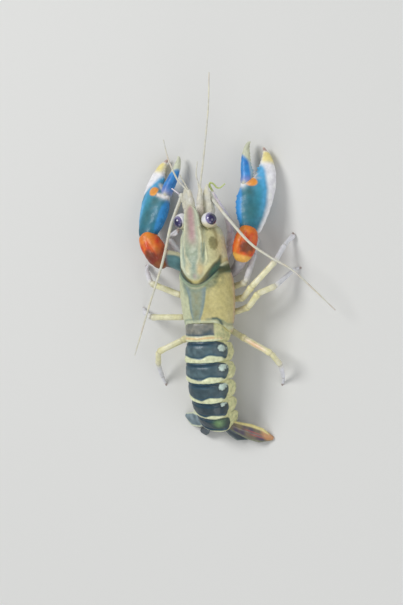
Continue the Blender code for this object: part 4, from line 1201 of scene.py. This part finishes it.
def teeth(arm, table, edge, start, end, count, way):
    """Blunt teeth along a finger's cutting edge, the third one the largest."""
    pieces = []
    for i, s in enumerate(np.linspace(start, end, count)):
        place = stations(table, s)[0][edge]
        size = (LARGE_TOOTH_RADIUS if i == 2 else TOOTH_RADIUS) * (1 - 0.45 * i / count)
        centre = claw_point(arm, s, place + way * 0.1, 0.1)
        pieces.append(ball("tooth", centre, size * arm["scale"], segments=14, rings=10))
    return pieces


def gape_rim(s):
    """How far outward the palm's inner edge lies beside the gape."""
    return stations(PALM, np.clip(s, *GAPE))[:, 0]


def palm_relief(arm, p):
    s, out, up = in_claw(arm, p)
    rim = 0.22 * near(out - gape_rim(s), 0.7) * window(s, 21.5, 22.4, 25, 27)
    hollow = -0.3 * near(np.hypot(out + 1.0, s - 19.0), 1.6) + 0.25 * near(np.hypot(out + 0.6, s - 21.2), 1.4)
    return rim + hollow * ramp(up, 0, 1) + 0.06 * mottle(p, 3.0, 24)


def palm_tones(arm, p, n):
    s, out, _ = in_claw(arm, p)
    left = arm["side"] < 0
    upward = ramp(n @ claw_frame(arm)[3], -0.5, 0.2)
    beyond_blue = out - read(BLUE_EDGE, s) + (0.9 if left else 0.0)
    edge = read(LEFT_WHITE_EDGE if left else WHITE_EDGE, s)
    pale = layers(PALM_WHITE, (LILAC, 0.1 + 0.15 * mottle(p, 4.0, 21)))
    if left:
        blue_side = 0.85 * ramp(out, 3.4, 6.2) * ramp(s, 18, 13)
        begins = ramp(s, 13.0, 17.0)
        spot = ramp(np.hypot((out - 1.6) / 2.5, (s - 21.4) / 2.3), 1.15, 0.75)
        ring = 0.9 * near(s - 20.2, 0.9) * ramp(out, -0.4, -1.2)
    else:
        blue_side = np.zeros(len(p))
        begins = 1.0
        spot = ramp(np.hypot((out + 1.3) / 3.3, (s - 21.7 + 0.15 * out) / 2.2), 1.1, 0.8)
        ring = 0.6 * near(s - 23.6, 0.7) * near(out, 2.4)
    return layers(
        CLAW_TEAL,
        (CLAW_AQUA, 0.3 * patches(p, 6.0, 20, -0.3, 1.0)),
        (CLAW_GREEN, 0.8 * near(out - 0.2, 3.8) * near(s - 9, 8.5)),
        (CLAW_AQUA, 0.55 * near(out - 3.2, 2.6) * near(s - 17, 6.0)),
        (CLAW_MOSS, 0.45 * near(out + 1.6, 2.6) * near(s - 17.2, 2.4)),
        (CLAW_BLUE, 0.95 * ramp(beyond_blue, 0.6, -0.6) * window(s, 1, 4, 18, 21)),
        (CLAW_SKY, 0.95 * near(out - 3.0, 2.4) * near(s - 26.0, 6.0)),
        (CLAW_SKY, 0.7 * near(out - read(WHITE_EDGE, s) + 1.4, 1.4) * ramp(s, 4, 14)),
        (CLAW_DARK, 0.35 * ramp(s, 5.0, 1.0)),
        (CLAW_SKY, blue_side),
        (pale, 0.95 * ramp(out, edge - 1.3, edge + 1.0) * begins),
        (pale, 0.9 * ramp(s + 0.3 * out, 29.0, 32.0)),
        (TIP_YELLOW, 0.85 * window(s, 29.6, 32.6, 35.4, 36.6) * ramp(out, 1.6, 3.8)),
        (TIP_BROWN, 0.8 * ramp(s, 35.8, 36.8)),
        (TIP_PALE, 0.7 * ramp(s, 37.4, 38.0)),
        (PEACH_WHITE, 0.85 * near(out - gape_rim(s), 0.9) * window(s, 21.3, 22.0, 24.8, 27)),
        (PEACH_WHITE, ring * upward),
        (ORANGE_DEEP, 0.95 * spot * upward),
        (ORANGE_PALE, 0.8 * ramp(spot, 0.4, 1.0) * patches(p, 5.0, 19, -0.8, 0.5) * upward),
        (PALM_WHITE, 0.95 * near(np.hypot(out + 4.6, s - 20.7), 1.8)),
    )


def dactyl_tones(arm, p, n):
    s, out, _ = in_claw(arm, p)
    rim = stations(DACTYL, np.clip(s, *DACTYL_EDGE))[:, 1]
    past = s - 31.0 + 0.85 * (out + 2.2)
    return layers(
        CLAW_BLUE,
        (CLAW_COBALT, 0.4 + 0.4 * mottle(p, 4.0, 22)),
        (CLAW_VIOLET, 0.6 * near(s - 22.4, 1.9)),
        (CLAW_PALE, 0.75 * ramp(out, rim - 1.5, rim - 0.3) * ramp(s, 22, 25)),
        (CLAW_PALE, 0.5 * ramp(past, -1.6, 0.0)),
        (TIP_IVORY, 0.92 * ramp(past, -0.5, 0.7)),
        (TIP_OLIVE, 0.4 * ramp(s, 32, 37) * patches(p, 2.5, 23, 0.0, 0.9)),
        (ORANGE, 0.5 * near(np.hypot(out + 1.4, s - 20.8), 1.2)),
        (CREAM, 0.8 * near(np.hypot(out + 4.4, s - 21.0), 1.3)),
    )


def make_claw(word):
    arm = ARMS[word]
    size = arm["scale"]
    clay = [claw_clay("palm", arm, PALM)] + teeth(arm, PALM, *PALM_TEETH)
    clay.append(ball("hinge", claw_point(arm, *HINGE), HINGE_RADIUS * size, segments=20, rings=14))
    for s in KNOBS:
        centre = claw_point(arm, s, stations(PALM, s)[0][0] + 0.1, 0.5)
        clay.append(ball("knob", centre, KNOB_RADIUS * size, segments=12, rings=8))
    palm = melt("palm_" + word + "_shell", clay, VOXEL["claw"])
    emboss(palm, lambda p, n: palm_relief(arm, p))
    dress(palm, lambda p, n: palm_tones(arm, p, n), CLAW_LOOK, "claw", "palm_" + word)

    clay = [claw_clay("dactyl", arm, DACTYL)] + teeth(arm, DACTYL, *DACTYL_TEETH)
    dactyl = melt("dactyl_" + word + "_shell", clay, VOXEL["finger"])
    emboss(dactyl, lambda p, n: 0.05 * mottle(p, 2.6, 25))
    dress(dactyl, lambda p, n: dactyl_tones(arm, p, n), CLAW_LOOK, "claw", "dactyl_" + word)


def make_carpus(word):
    arm = ARMS[word]
    start, end = (np.array(p) for p in arm["carpus"])
    along = unit(end - start)
    side = unit(np.cross(along, Z))
    up = np.cross(side, along)
    s = places_in(CARPUS, 70)
    radius = stations(CARPUS, s)[:, 0]
    middle = start + (end - start) * (s / CARPUS_LENGTH)[:, None]
    outline = oval(56, CARPUS_POWER, CARPUS_POWER)
    clay = loft("carpus", sections(middle, side, up, radius, radius * CARPUS_FLATTEN, outline))
    inward = -side * arm["side"]
    share, beside, above = THORN_FOOT
    foot = start + (end - start) * share + inward * beside + up * above
    thorn = spine(foot, foot + inward * THORN_REACH[0] + along * THORN_REACH[1], THORN_RADIUS)
    carpus = melt("carpus_" + word + "_shell", [clay, thorn], VOXEL["claw"])

    def local(p):
        """Distance along the carpus, outward and upward."""
        away = p - start
        return away @ along, -away @ inward, away @ up

    def relief(p, n):
        s, out, high = local(p)
        furrow = near(out - CARPUS_FURROW, 0.5) * ramp(high, 1, 3) * window(s, 3, 5, 11, 14)
        return 0.07 * mottle(p, 2.6, 31) - 0.35 * furrow

    def tones(p, n):
        s, out, high = local(p)
        patch = np.hypot((s - 6.4) / 3.6, (out - 2.2) / 3.2) + 0.12 * mottle(p, 2.2, 33)
        return layers(
            RED_ORANGE,
            (ORANGE, 0.18 + 0.25 * mottle(p, 4.0, 32)),
            (ORANGE, 0.5 * near(out + 2.2, 1.3) * ramp(high, 0, 2)),
            (UMBER, 0.85 * ramp(patch, 1.1, 0.5)),
            (RIM_YELLOW, 0.9 * ramp(s, 3.4, 2.0)),
            (ORANGE, 0.5 * ramp(s, 12.2, 14.0)),
            (RUST, 0.85 * ramp(s, 9.0, 4.0) * (arm["side"] < 0)),
        )

    emboss(carpus, relief)
    dress(carpus, tones, CLAW_LOOK, "carpus", "carpus_" + word)


def make_upper_arm(word):
    arm = ARMS[word]
    share = steps(60)
    radii = spread(arm["radii"], share) * nips(share, *ARM_NIPS)
    clay = tube("arm", route_through(arm["route"], 60), radii, sides=40)
    limb = melt("arm_" + word + "_shell", [clay], VOXEL["shell"])

    def tones(p, n):
        return layers(
            ARM_TEAL,
            (ARM_SHADE, 0.4 + 0.4 * mottle(p, 5.0, 34)),
            (CREAM, 0.8 * ramp(n[:, 1], 0.35, 0.75)),
            (ARM_UNDER, 0.6 * ramp(-n[:, 2], 0.0, 0.6)),
            (ARM_ROSE, 0.6 * (arm["side"] > 0)),
            (RUST, 0.75 * ramp(-p[:, 0], 18.6, 20.6) * (arm["side"] < 0)),
        )

    emboss(limb, lambda p, n: 0.06 * mottle(p, 2.8, 35))
    dress(limb, tones, CLAW_LOOK, "arm", "arm_" + word)


# Walking legs and jaw legs

# Their ends and joints, from the body outward
LEGS = {
    "leg_2_right": ((2.8, 14.5, 9.3), (10.3, 15.7, 9.3), (16.2, 17.0, 13.0), (18.0, 29.0, 6.0),
                    (16.6, 36.6, -0.3)),
    "leg_3_right": ((2.8, 10.0, 9.3), (10.1, 10.0, 9.4), (14.4, 10.2, 12.0), (19.9, 15.0, 15.0),
                    (30.1, 25.6, 12.0), (32.3, 32.4, 6.0), (34.2, 37.6, -0.3)),
    "leg_4_right": ((2.8, 5.5, 9.3), (10.1, 4.4, 9.4), (17.2, 6.2, 13.0), (23.1, 11.9, 16.0),
                    (29.2, 14.8, 11.0), (35.2, 22.2, 2.0), (37.2, 22.4, -0.3)),
    "leg_5_right": ((2.8, 1.4, 9.6), (6.8, -3.4, 9.8), (14.8, -7.7, 12.0), (27.4, -14.4, 14.0),
                    (29.4, -19.4, 9.0), (28.2, -25.0, 2.8), (26.4, -28.4, -0.3)),
    "leg_2_left": ((-2.8, 14.5, 9.3), (-9.5, 15.6, 9.0), (-13.0, 19.0, 7.6), (-15.0, 26.5, 3.6),
                   (-21.7, 38.2, 8.0), (-15.9, 41.7, 9.8)),
    "leg_3_left": ((-2.8, 10.0, 9.3), (-10.1, 10.6, 9.4), (-15.0, 12.6, 13.0), (-27.9, 18.2, 15.0),
                   (-33.0, 23.0, 7.0), (-36.5, 26.0, -0.3)),
    "leg_4_left": ((-2.8, 5.5, 9.3), (-10.1, 3.8, 9.4), (-14.4, 2.8, 12.5), (-28.5, 3.3, 15.0),
                   (-34.5, 5.5, 8.0), (-38.5, 7.5, -0.3)),
    "leg_5_left": ((-2.8, 1.4, 9.6), (-7.0, -3.4, 9.8), (-15.4, -7.4, 12.0), (-26.0, -12.0, 14.0),
                   (-28.5, -17.5, 9.0), (-29.4, -23.0, 3.2), (-29.0, -27.0, -0.3)),
}
LEG_RADII = (1.5, 1.4, 1.35, 1.35, 1.3, 1.15, 0.9, 0.5)
PINCER_LEGS = ("leg_2_right", "leg_3_right", "leg_2_left", "leg_3_left")
PINCER_LENGTH = 5.0
PINCER_RADII = (0.7, 0.6, 0.3)
CORNER = 0.9
MAXILLIPEDS = {
    "maxilliped_right": ((2.6, 25.0, 9.3), (5.6, 28.5, 8.2), (7.2, 33.0, 7.3), (7.8, 40.0, 7.2),
                         (7.2, 46.0, 9.0), (4.6, 53.5, 13.6), (2.4, 60.6, 17.6), (4.3, 61.2, 18.2),
                         (6.9, 57.8, 17.4), (9.9, 60.1, 17.0)),
    "maxilliped_left": ((-2.6, 25.0, 9.3), (-5.6, 28.5, 8.2), (-6.8, 33.0, 7.3), (-7.2, 40.0, 7.2),
                        (-7.4, 46.0, 9.6), (-9.0, 52.5, 15.0), (-11.2, 56.6, 18.2), (-14.4, 59.2, 18.9)),
}
MAXILLIPED_RADII = (1.6, 1.7, 1.7, 1.6, 1.2, 0.8, 0.6, 0.5, 0.4, 0.3)
LIMB_POINTS = 260
LIMB_EASE = 5

# How much a limb swells before a joint and pinches at it, in shares of its radius
LEG_JOINTS = (0.16, 0.2)
JAW_JOINTS = (0.06, 0.14)


def limb_shape(route, radii, joint_swell, joint_nip):
    """A limb's path, radii that swell before each joint and pinch at it, and how far along the joints lie."""
    pts = np.array(route)
    cut = [pts[0]]
    for before, here, after in zip(pts, pts[1:], pts[2:]):
        cut += [here + unit(before - here) * CORNER, here + unit(after - here) * CORNER]
    path = even(cut + [pts[-1]], LIMB_POINTS)
    for _ in range(LIMB_EASE):
        path[1:-1] = (path[:-2] + 2 * path[1:-1] + path[2:]) / 4
    length = lengths(path)
    joints = length[nearest(pts[1:-1], path)]
    radius = spread(radii, length / length[-1])
    for joint in joints:
        away = length - joint
        radius = radius * (1 + joint_swell * near(away + 1.1, 1.3) - joint_nip * near(away, 0.32))
    return path, radius, length, joints


def leg_tones(name, path, length, joints, p, n):
    at = length[nearest(p, path)]
    last = joints[-2]
    far = ramp(at, last - 4.0, last + 3.0)
    rows = [
        (PALE_YELLOW, 0.45 + 0.3 * mottle(p, 5.0, 41)),
        (layers(LEG_WHITE, (LILAC, 0.15)), 0.9 * far),
        (LEG_BLUE, 0.5 * far * ramp(-n[:, 1], 0.2, 0.8) * ramp(-n[:, 2], -0.6, 0.2)),
    ]
    if name == "leg_5_right":
        rows.append((LEG_STREAK, 0.5 * near(at - joints[1] - 6.0, 5.0) * ramp(n[:, 2], 0.6, 0.95)))
    for joint in joints:
        rows.append((YELLOW, 0.35 * near(at - joint + 0.8, 1.2) * (1 - far)))
        rows.append((LEG_JOINT, 0.35 * near(at - joint, 0.35)))
    return layers(LEG_CREAM, *rows, (LEG_TIP, 0.7 * ramp(at, length[-1] - 1.6, length[-1] - 0.6)))


def make_leg(name, route):
    path, radius, length, joints = limb_shape(route, LEG_RADII, *LEG_JOINTS)
    clay = [tube("leg", path, radius, sides=20)]
    if name in PINCER_LEGS:
        before, tip = np.array(route[-2:])
        root = tip + unit(before - tip) * PINCER_LENGTH
        beside = unit(np.cross(tip - root, Z))
        finger = route_through((root, (root + tip) / 2 + beside * 1.3, tip + beside * 0.9 + Z * 0.8), 20)
        clay.append(tube("finger", finger, spread(PINCER_RADII, steps(20)), sides=12))
    leg = melt(name + "_shell", clay, VOXEL["leg"], rounds=2)
    keep_off_floor(leg)
    dress(leg, lambda p, n: leg_tones(name, path, length, joints, p, n), LEG_LOOK, "leg",
          name + "_upper", name + "_lower")


def jaw_tones(name, p):
    palp = ramp(p[:, 1], 56.4, 58.0) * (name == "maxilliped_right")
    return layers(JAW_WHITE, (LILAC, 0.2 + 0.2 * mottle(p, 4.0, 44)), (LIME, 0.9 * palp))


def make_maxilliped(name, route):
    path, radius, _, _ = limb_shape(route, MAXILLIPED_RADII, *JAW_JOINTS)
    limb = melt(name + "_shell", [tube("jaw_leg", path, radius, sides=18)], VOXEL["thin"], rounds=2)
    dress(limb, lambda p, n: jaw_tones(name, p), LEG_LOOK, "soft_shell", name)


# Abdomen

# The crown of each ring's rear edge, its pitch and roll, half width and crown height
ABDOMEN = (
    ((0.0, 2.5, 28), 1.0, 0.0, 9.4, 8.0),
    ((0.0, -8.0, 28), 3.0, 0.0, 9.6, 8.0),
    ((-0.8, -17.4, 27.0), 10.0, 3.0, 10.6, 7.9),
    ((-1.8, -26.5, 25.0), 20.0, 8.0, 10.4, 7.6),
    ((-2.8, -35.2, 21.6), 31.0, 13.0, 9.9, 7.0),
    ((-3.6, -41.9, 16.6), 42.0, 17.0, 9.2, 6.2),
    ((-3.7, -47.4, 11.0), 50.0, 20.0, 8.3, 5.0),
)
RING_DEPTH = 5.2
RING_WIDTH = 0.97
RING_POWER = 2.2
PLEURON_DROP = 5.8
FIRST_DROP = 0.85
PLEURON_SHARES = (0.95, 0.98, 1.0, 1.0, 0.98, 0.92, 0.75, 0.35)
PLEURON_THICK = 0.75
FLAP_PLACE = 0.55
SWIMMERET_RINGS = (2, 3, 4)
SWIMMERET_WIDTHS = (0.8, 1.1, 1.3, 1.1, 0.5)
SWIMMERET_THICK = 0.45

# A ring from front to back: share of its length, and size
RING_SIZES = ((-0.06, 0.86), (0.0, 0.9), (0.06, 0.935), (0.14, 0.965), (0.35, 0.99), (0.6, 1.0), (0.85, 1.0),
              (0.94, 0.995), (0.985, 0.98), (1.01, 0.95))

# For each ring: how much darker its back is, how deep its cream band reaches, where its pearl spot lies
TAIL_DARK = (0.0, 0.0, 0.1, 0.2, 0.5, 0.85, 0.95)
BAND_DEPTH = (1.0, 1.2, 1.2, 1.1, 1.05, 0.85, 0.5)
PEARL_PLACES = {2: 0.36, 3: 0.32, 4: 0.27, 5: 0.2}


def ring_frame(index):
    """Axis point, direction backward, right and up, half width and rise of an abdomen joint."""
    crown, pitch, roll, half_width, rise = ABDOMEN[index]
    pitch, roll = math.radians(pitch), math.radians(roll)
    back = np.array((0.0, -math.cos(pitch), -math.sin(pitch)))
    level_up = np.array((0.0, -math.sin(pitch), math.cos(pitch)))
    up = level_up * math.cos(roll) - X * math.sin(roll)
    right = X * math.cos(roll) + level_up * math.sin(roll)
    return np.array(crown) - up * rise, back, right, up, half_width, rise


def ring_between(index, t):
    """The same between a ring's front and rear joint, at one share t of the way or at many."""
    t = np.asarray(t)
    pairs = list(zip(ring_frame(index - 1), ring_frame(index)))
    vectors = [a + (b - a) * t[..., None] for a, b in pairs[:4]]
    return [vectors[0], *(unit(v) for v in vectors[1:]), *(a + (b - a) * t for a, b in pairs[4:])]


def ring_length(index):
    return np.linalg.norm(ring_frame(index)[0] - ring_frame(index - 1)[0])


def in_ring(index, p):
    """Share of the way back, across and up of each point, in shares of the ring's half width and rise."""
    t = np.full(len(p), 0.5)
    for _ in range(6):
        centre, back = ring_between(index, t)[:2]
        t = np.clip(t + ((p - centre) * back).sum(axis=1) / ring_length(index), -0.4, 1.4)
    centre, _, right, up, half, rise = ring_between(index, t)
    return t, ((p - centre) * right).sum(axis=1) / half, ((p - centre) * up).sum(axis=1) / rise


def ring_clay(index):
    across, high = oval(96, RING_POWER, RING_POWER)
    rings = []
    for t, size in RING_SIZES:
        centre, _, right, up, half, rise = ring_between(index, t)
        wide = across * half * size * RING_WIDTH
        tall = high * np.where(high >= 0, rise, RING_DEPTH) * size
        rings.append(centre + right * wide[:, None] + up * tall[:, None])
    return loft("ring", rings)


def pleuron_clay(index, side):
    """The side lobe of a ring: a rounded flap that hangs from its flank."""
    centre, back, right, up, half, _ = ring_between(index, FLAP_PLACE)
    out, length = right * side, ring_length(index)
    drop = PLEURON_DROP * (FIRST_DROP if index == 1 else 1.0)
    root = centre + out * (half - 1.5) + up * 1.8
    tip = centre + out * (half - 0.8) - up * drop + back * length * 0.12
    share = steps(24)[:, None]
    path = root + (tip - root) * share + np.sin(math.pi * share) * out * 0.5
    return blade("pleuron", path, length / 2 * np.array(PLEURON_SHARES), PLEURON_THICK, back, sides=32)


def swimmeret_clay(index, side):
    centre, back, right, up, half, _ = ring_between(index, FLAP_PLACE)
    start = centre + right * side * half * 0.45 - up * (RING_DEPTH - 1.0)
    end = start - up * 5.0 + back * 2.0 + right * side * 0.8
    path = route_through((start, (start + end) / 2, end), 16)
    return blade("swimmeret", path, SWIMMERET_WIDTHS, SWIMMERET_THICK, back, sides=16)


def ring_relief(index, p):
    t, across, up = in_ring(index, p)
    bands = 0.2 * near(t - 0.9, 0.09) - 0.18 * near(t - 0.77, 0.05) - 0.25 * near(t - 0.2, 0.07)
    hinge = -0.15 * near(np.abs(across) - 0.93, 0.05) * ramp(up, 0.3, 0.0)
    return bands * ramp(up, -0.5, 0.1) + hinge + 0.05 * mottle(p, 3.2, 50 + index)


def band_layers(index, t, across, top):
    """The cream rear band: thick at the left and right of the middle, thin at the midline, even on ring 1."""
    first = index == 1
    wave = 0.09 * near(across + 0.8, 0.28) + 0.1 * near(across - 0.42, 0.3) - 0.05 * near(across, 0.2)
    band = BAND_DEPTH[index] * (0.17 + (0.25 if first else 1.0) * wave) * ramp(across, 1.04, 0.8)
    past = t - 1.0 + band
    share = ramp(past, -0.04, 0.04) * top
    return (
        (FRONT_BLUE, 0.6 * near(past + 0.06, 0.05) * top),
        (BAND_CREAM, 0.92 * share),
        (ORANGE_CREAM, (0.9 if first else 0.15) * near(past - 0.4 * band, 0.055) * share),
    )


def pearl_layers(index, t, across, up, p):
    """The pearl spot at a ring's right, and the last ring's green patch."""
    if index in PEARL_PLACES:
        late = t - PEARL_PLACES[index]
        away = np.hypot((across - 0.84) * 13.0 - 2.5 * late, late * 8.5) - (1.25 if index < 5 else 0.8)
        return ((INK, 0.35 * near(away - 0.5, 0.4) * ramp(up, 0, 0.2)),
                (PEARL, 0.95 * ramp(away + 0.2 * mottle(p, 1.5, 90), 0.35, -0.25)))
    if index == len(ABDOMEN) - 1:
        return ((GREEN_PATCH, 0.75 * near(np.hypot((across - 0.6) * 9, (t - 0.35) * 8), 2.2)),)
    return ()


def ring_tones(index, p, n):
    t, across, up = in_ring(index, p)
    top = ramp(up, 0.05, 0.35)
    if index == 1:
        back = layers(FIRST_GREY, (SLATE, 0.22 + 0.2 * mottle(p, 3.0, 61)),
                      (SLATE, 0.7 * near(across - 0.4, 0.25) * near(t - 0.62, 0.1)))
    else:
        back = layers(SLATE, (TAIL_GREY, 0.55 + 0.35 * mottle(p, 4.0, 60 + index)),
                      (TAIL_SHADE, TAIL_DARK[index]),
                      (FRONT_BLUE, 0.85 * ramp(t, 0.36, 0.12) * ramp(across, 0.9, 0.2)),
                      (INK, 0.6 * near(t - 0.12, 0.06)))
    border = 0.02 + 0.7 * np.clip(np.abs(2 * t - 1.0), 0, 1) ** 3
    lobe = ramp(up, border + 0.06, border - 0.06) * ramp(np.abs(across), 0.6, 0.75)
    if index == 1:
        lobe = np.maximum(lobe, ramp(across, 0.6, 0.68) * ramp(t, 0.92, 0.86))
    return layers(
        back, *band_layers(index, t, across, top), *pearl_layers(index, t, across, up, p),
        (UMBER_GREEN, 0.3 * ramp(across, 0.82, 0.95) * top),
        (RIM_WHITE, 0.65 * ramp(across, -0.86, -0.96) * ramp(up, 0.6, 0.2)),
        (LOBE_CREAM, 0.92 * lobe),
        (LOBE_GREEN, 0.6 * lobe * patches(p, 2.2, 70 + index, -0.2, 0.9)),
        (SOFT_UNDER, 0.8 * ramp(-n[:, 2], 0.3, 0.8) * ramp(np.abs(across), 0.85, 0.6)),
    )


def make_ring(index):
    clay = [ring_clay(index)]
    for side in SIDES.values():
        clay.append(pleuron_clay(index, side))
        if index in SWIMMERET_RINGS:
            clay.append(swimmeret_clay(index, side))
    ring = melt("abdomen_%d_shell" % index, clay, VOXEL["tail"])
    emboss(ring, lambda p, n: ring_relief(index, p))
    dress(ring, lambda p, n: ring_tones(index, p, n), TAIL_LOOK, "tail_shell", "abdomen_%d" % index)


# Tail fan

# Each blade's route, half widths spread along it, and the direction across it
FAN = {
    "telson": (
        ((-2.0, -43.4, 8.4), (-2.0, -45.2, 6.4), (-1.9, -45.2, 4.0), (-1.8, -43.6, 1.8), (-1.7, -41.2, 0.45)),
        (3.4, 3.9, 3.9, 3.5, 2.6), (1.0, 0.0, 0.12),
    ),
    "uropod_outer_right": (
        ((3.4, -43.8, 9.8), (6.8, -45.8, 8.4), (12.0, -48.2, 5.8), (17.0, -50.3, 3.2), (21.3, -51.8, 0.45)),
        (1.6, 2.6, 3.6, 3.3, 0.9), (-0.42, -0.90, 0.05),
    ),
    "uropod_inner_right": (
        ((1.8, -44.2, 9.0), (3.6, -46.8, 6.8), (6.4, -49.2, 4.2), (9.8, -51.2, 0.45)),
        (1.4, 2.4, 3.0, 1.0), (-0.42, -0.90, 0.05),
    ),
    "uropod_outer_left": (
        ((-7.2, -41.8, 7.0), (-11.0, -43.0, 5.0), (-15.5, -42.2, 2.9), (-19.8, -40.6, 0.45)),
        (1.6, 2.8, 3.3, 1.0), (-0.25, -0.95, -0.15),
    ),
    "uropod_inner_left": (
        ((-5.4, -42.4, 7.6), (-7.0, -45.6, 5.0), (-9.6, -47.0, 2.8), (-12.8, -47.6, 0.45)),
        (1.4, 2.4, 2.9, 1.0), (-0.1, -0.99, 0.0),
    ),
}
FAN_RIB_RADII = (0.5, 0.45, 0.4, 0.25)
FAN_RIB_HEIGHT = 0.3
FAN_THICK = 0.5


def fan_tones(name, path, across, half, p):
    """The numbers are shares of the blade's length and of its half width."""
    at = nearest(p, path)
    share = at / (len(path) - 1)
    side = ((p - path[at]) @ unit(across)) / np.maximum(spread(half, share), 0.5)
    edge = np.abs(side)
    if name == "uropod_outer_right":
        return layers(
            MAUVE,
            (KHAKI, 0.25 + 0.25 * mottle(p, 4.0, 80)),
            (BRICK, 0.8 * near(side + 0.1, 0.07) * ramp(share, 0.3, 0.5)),
            (BRICK, 0.8 * near(side - 0.25, 0.08) * ramp(share, 0.45, 0.6)),
            (FAN_TAN, 0.85 * ramp(share - 0.12 * side, 0.74, 0.86)),
            (CREAM_YELLOW, 0.9 * ramp(side, -0.5, -0.72) * ramp(share, 0.95, 0.85)),
            (MOSS_GREY, 0.7 * ramp(side, 0.65, 0.85)),
        )
    if name == "uropod_outer_left":
        return layers(
            BLUE_GREY,
            (SLATE, 0.35 + 0.3 * mottle(p, 4.0, 82)),
            (LIME_WHITE, 0.85 * ramp(edge, 0.65, 0.85)),
            (LIME_WHITE, 0.6 * ramp(share, 0.25, 0.1)),
        )
    if name == "telson":
        return layers(FAN_DARK,
                      (SLATE, 0.3 + 0.3 * mottle(p, 4.0, 81)),
                      (SAGE_DARK, 0.6 * ramp(edge, 0.75, 0.95)))
    return layers(FAN_DARK,
                  (SLATE, 0.3 + 0.3 * mottle(p, 4.0, 83)),
                  (SAGE_DARK, 0.5 * ramp(edge, 0.75, 0.9)))


def make_blade(name):
    route, half, across = FAN[name]
    path = route_through(route, 60)
    face = leaf_frame(path, across)[1]
    face *= np.where(face[:, 2:] >= 0, 1.0, -1.0)
    clay = [blade("blade", path, half, FAN_THICK, across, sides=36),
            tube("rib", path + face * FAN_RIB_HEIGHT, spread(FAN_RIB_RADII, steps(60)), sides=10)]
    leaf = melt(name + "_shell", clay, VOXEL["thin"], rounds=3)
    keep_off_floor(leaf)
    dress(leaf, lambda p, n: fan_tones(name, path[::2], across, half, p), FAN_LOOK, "fan", name)


# Camera, floor and light

PIXEL = 0.432
CAMERA_TILT = math.radians(23.0)
CAMERA_SPIN = 0.0388
CAMERA_DISTANCE = 1400.0
SENSOR = 36.0
PICTURE_HEIGHT = 605
CLIP_END = 10.0
AIM = (0.0, 0.0, 31.0)
AIM_RIGHT = 2.117
AIM_UP = 9.029
FLOOR_SIZE = 3.0
FLOOR_COLOUR = (0.72, 0.72, 0.70, 1.0)
FLOOR_ROUGHNESS = 0.9
SKY_COLOUR = (0.95, 0.97, 1.0, 1.0)
SKY_STRENGTH = 0.35

# Lights: name, place and size in metres, power in watts; all look at the middle of the body
LIGHTS = (
    ("key", (-0.5, 0.45, 0.9), 0.5, 7.0),
    ("fill", (0.8, -0.2, 0.6), 0.8, 2.5),
    ("back", (0.1, -0.9, 0.5), 0.6, 2.0),
)
LIGHT_AIM = (0.0, 0.0, 0.01)


def turned(obj, right, up, back, place):
    """Sets an object's own axes and place, in metres."""
    turn = Matrix((right, up, back)).transposed().to_4x4()
    turn.translation = place
    obj.matrix_world = turn


def make_camera():
    """Looks down on the animal from its right, through a long lens, the head up in the picture."""
    towards = np.array((math.sin(CAMERA_TILT), 0.0, math.cos(CAMERA_TILT)))
    level = np.array((math.cos(CAMERA_TILT), 0.0, -math.sin(CAMERA_TILT)))
    spin = math.sqrt(1 - CAMERA_SPIN ** 2)
    right = level * spin - Y * CAMERA_SPIN
    up = level * CAMERA_SPIN + Y * spin
    target = np.array(AIM) + right * AIM_RIGHT + up * AIM_UP
    data = bpy.data.cameras.new("camera")
    data.sensor_fit = "VERTICAL"
    data.sensor_height = SENSOR
    data.lens = SENSOR * CAMERA_DISTANCE / (PIXEL * PICTURE_HEIGHT)
    data.clip_end = CLIP_END
    camera = add_object("camera", data)
    turned(camera, right, up, towards, to_row(target + towards * CAMERA_DISTANCE))
    bpy.context.scene.camera = camera


def make_floor():
    mesh = bpy.data.meshes.new("floor")
    corners = [(x * FLOOR_SIZE, y * FLOOR_SIZE, 0) for x, y in ((-1, -1), (1, -1), (1, 1), (-1, 1))]
    mesh.from_pydata(corners, [], [(0, 1, 2, 3)])
    floor = add_object("floor", mesh)
    mat = bpy.data.materials.new("floor_paper")
    mat.use_nodes = True
    shader = mat.node_tree.nodes["Principled BSDF"]
    shader.inputs["Base Color"].default_value = FLOOR_COLOUR
    shader.inputs["Roughness"].default_value = FLOOR_ROUGHNESS
    mesh.materials.append(mat)


def make_light(name, place, size, power):
    data = bpy.data.lights.new(name, "AREA")
    data.shape = "DISK"
    data.size = size
    data.energy = power
    towards = unit(np.array(place) - LIGHT_AIM)
    side = unit(np.cross(Y, towards)) if abs(towards[1]) < STEEP else X
    turned(add_object(name, data), side, np.cross(towards, side), towards, place)


def make_sky():
    world = bpy.data.worlds.new("studio")
    world.use_nodes = True
    sky = world.node_tree.nodes["Background"]
    sky.inputs["Color"].default_value = SKY_COLOUR
    sky.inputs["Strength"].default_value = SKY_STRENGTH
    bpy.context.scene.world = world
    bpy.context.scene.view_settings.view_transform = "Standard"


make_carapace()
make_face()
for word in SIDES:
    make_eye(word)
    make_feelers(word)
    make_claw(word)
    make_carpus(word)
    make_upper_arm(word)
make_keel("sternum_plates", STERNUM, STERNUM_TOP, "sternum")
make_keel("mouth_plates", MOUTH, MOUTH_TOP, "mouthparts")
for name, route in LEGS.items():
    make_leg(name, route)
for name, route in MAXILLIPEDS.items():
    make_maxilliped(name, route)
for index in range(1, len(ABDOMEN)):
    make_ring(index)
for name in FAN:
    make_blade(name)
make_camera()
make_floor()
for light in LIGHTS:
    make_light(*light)
make_sky()
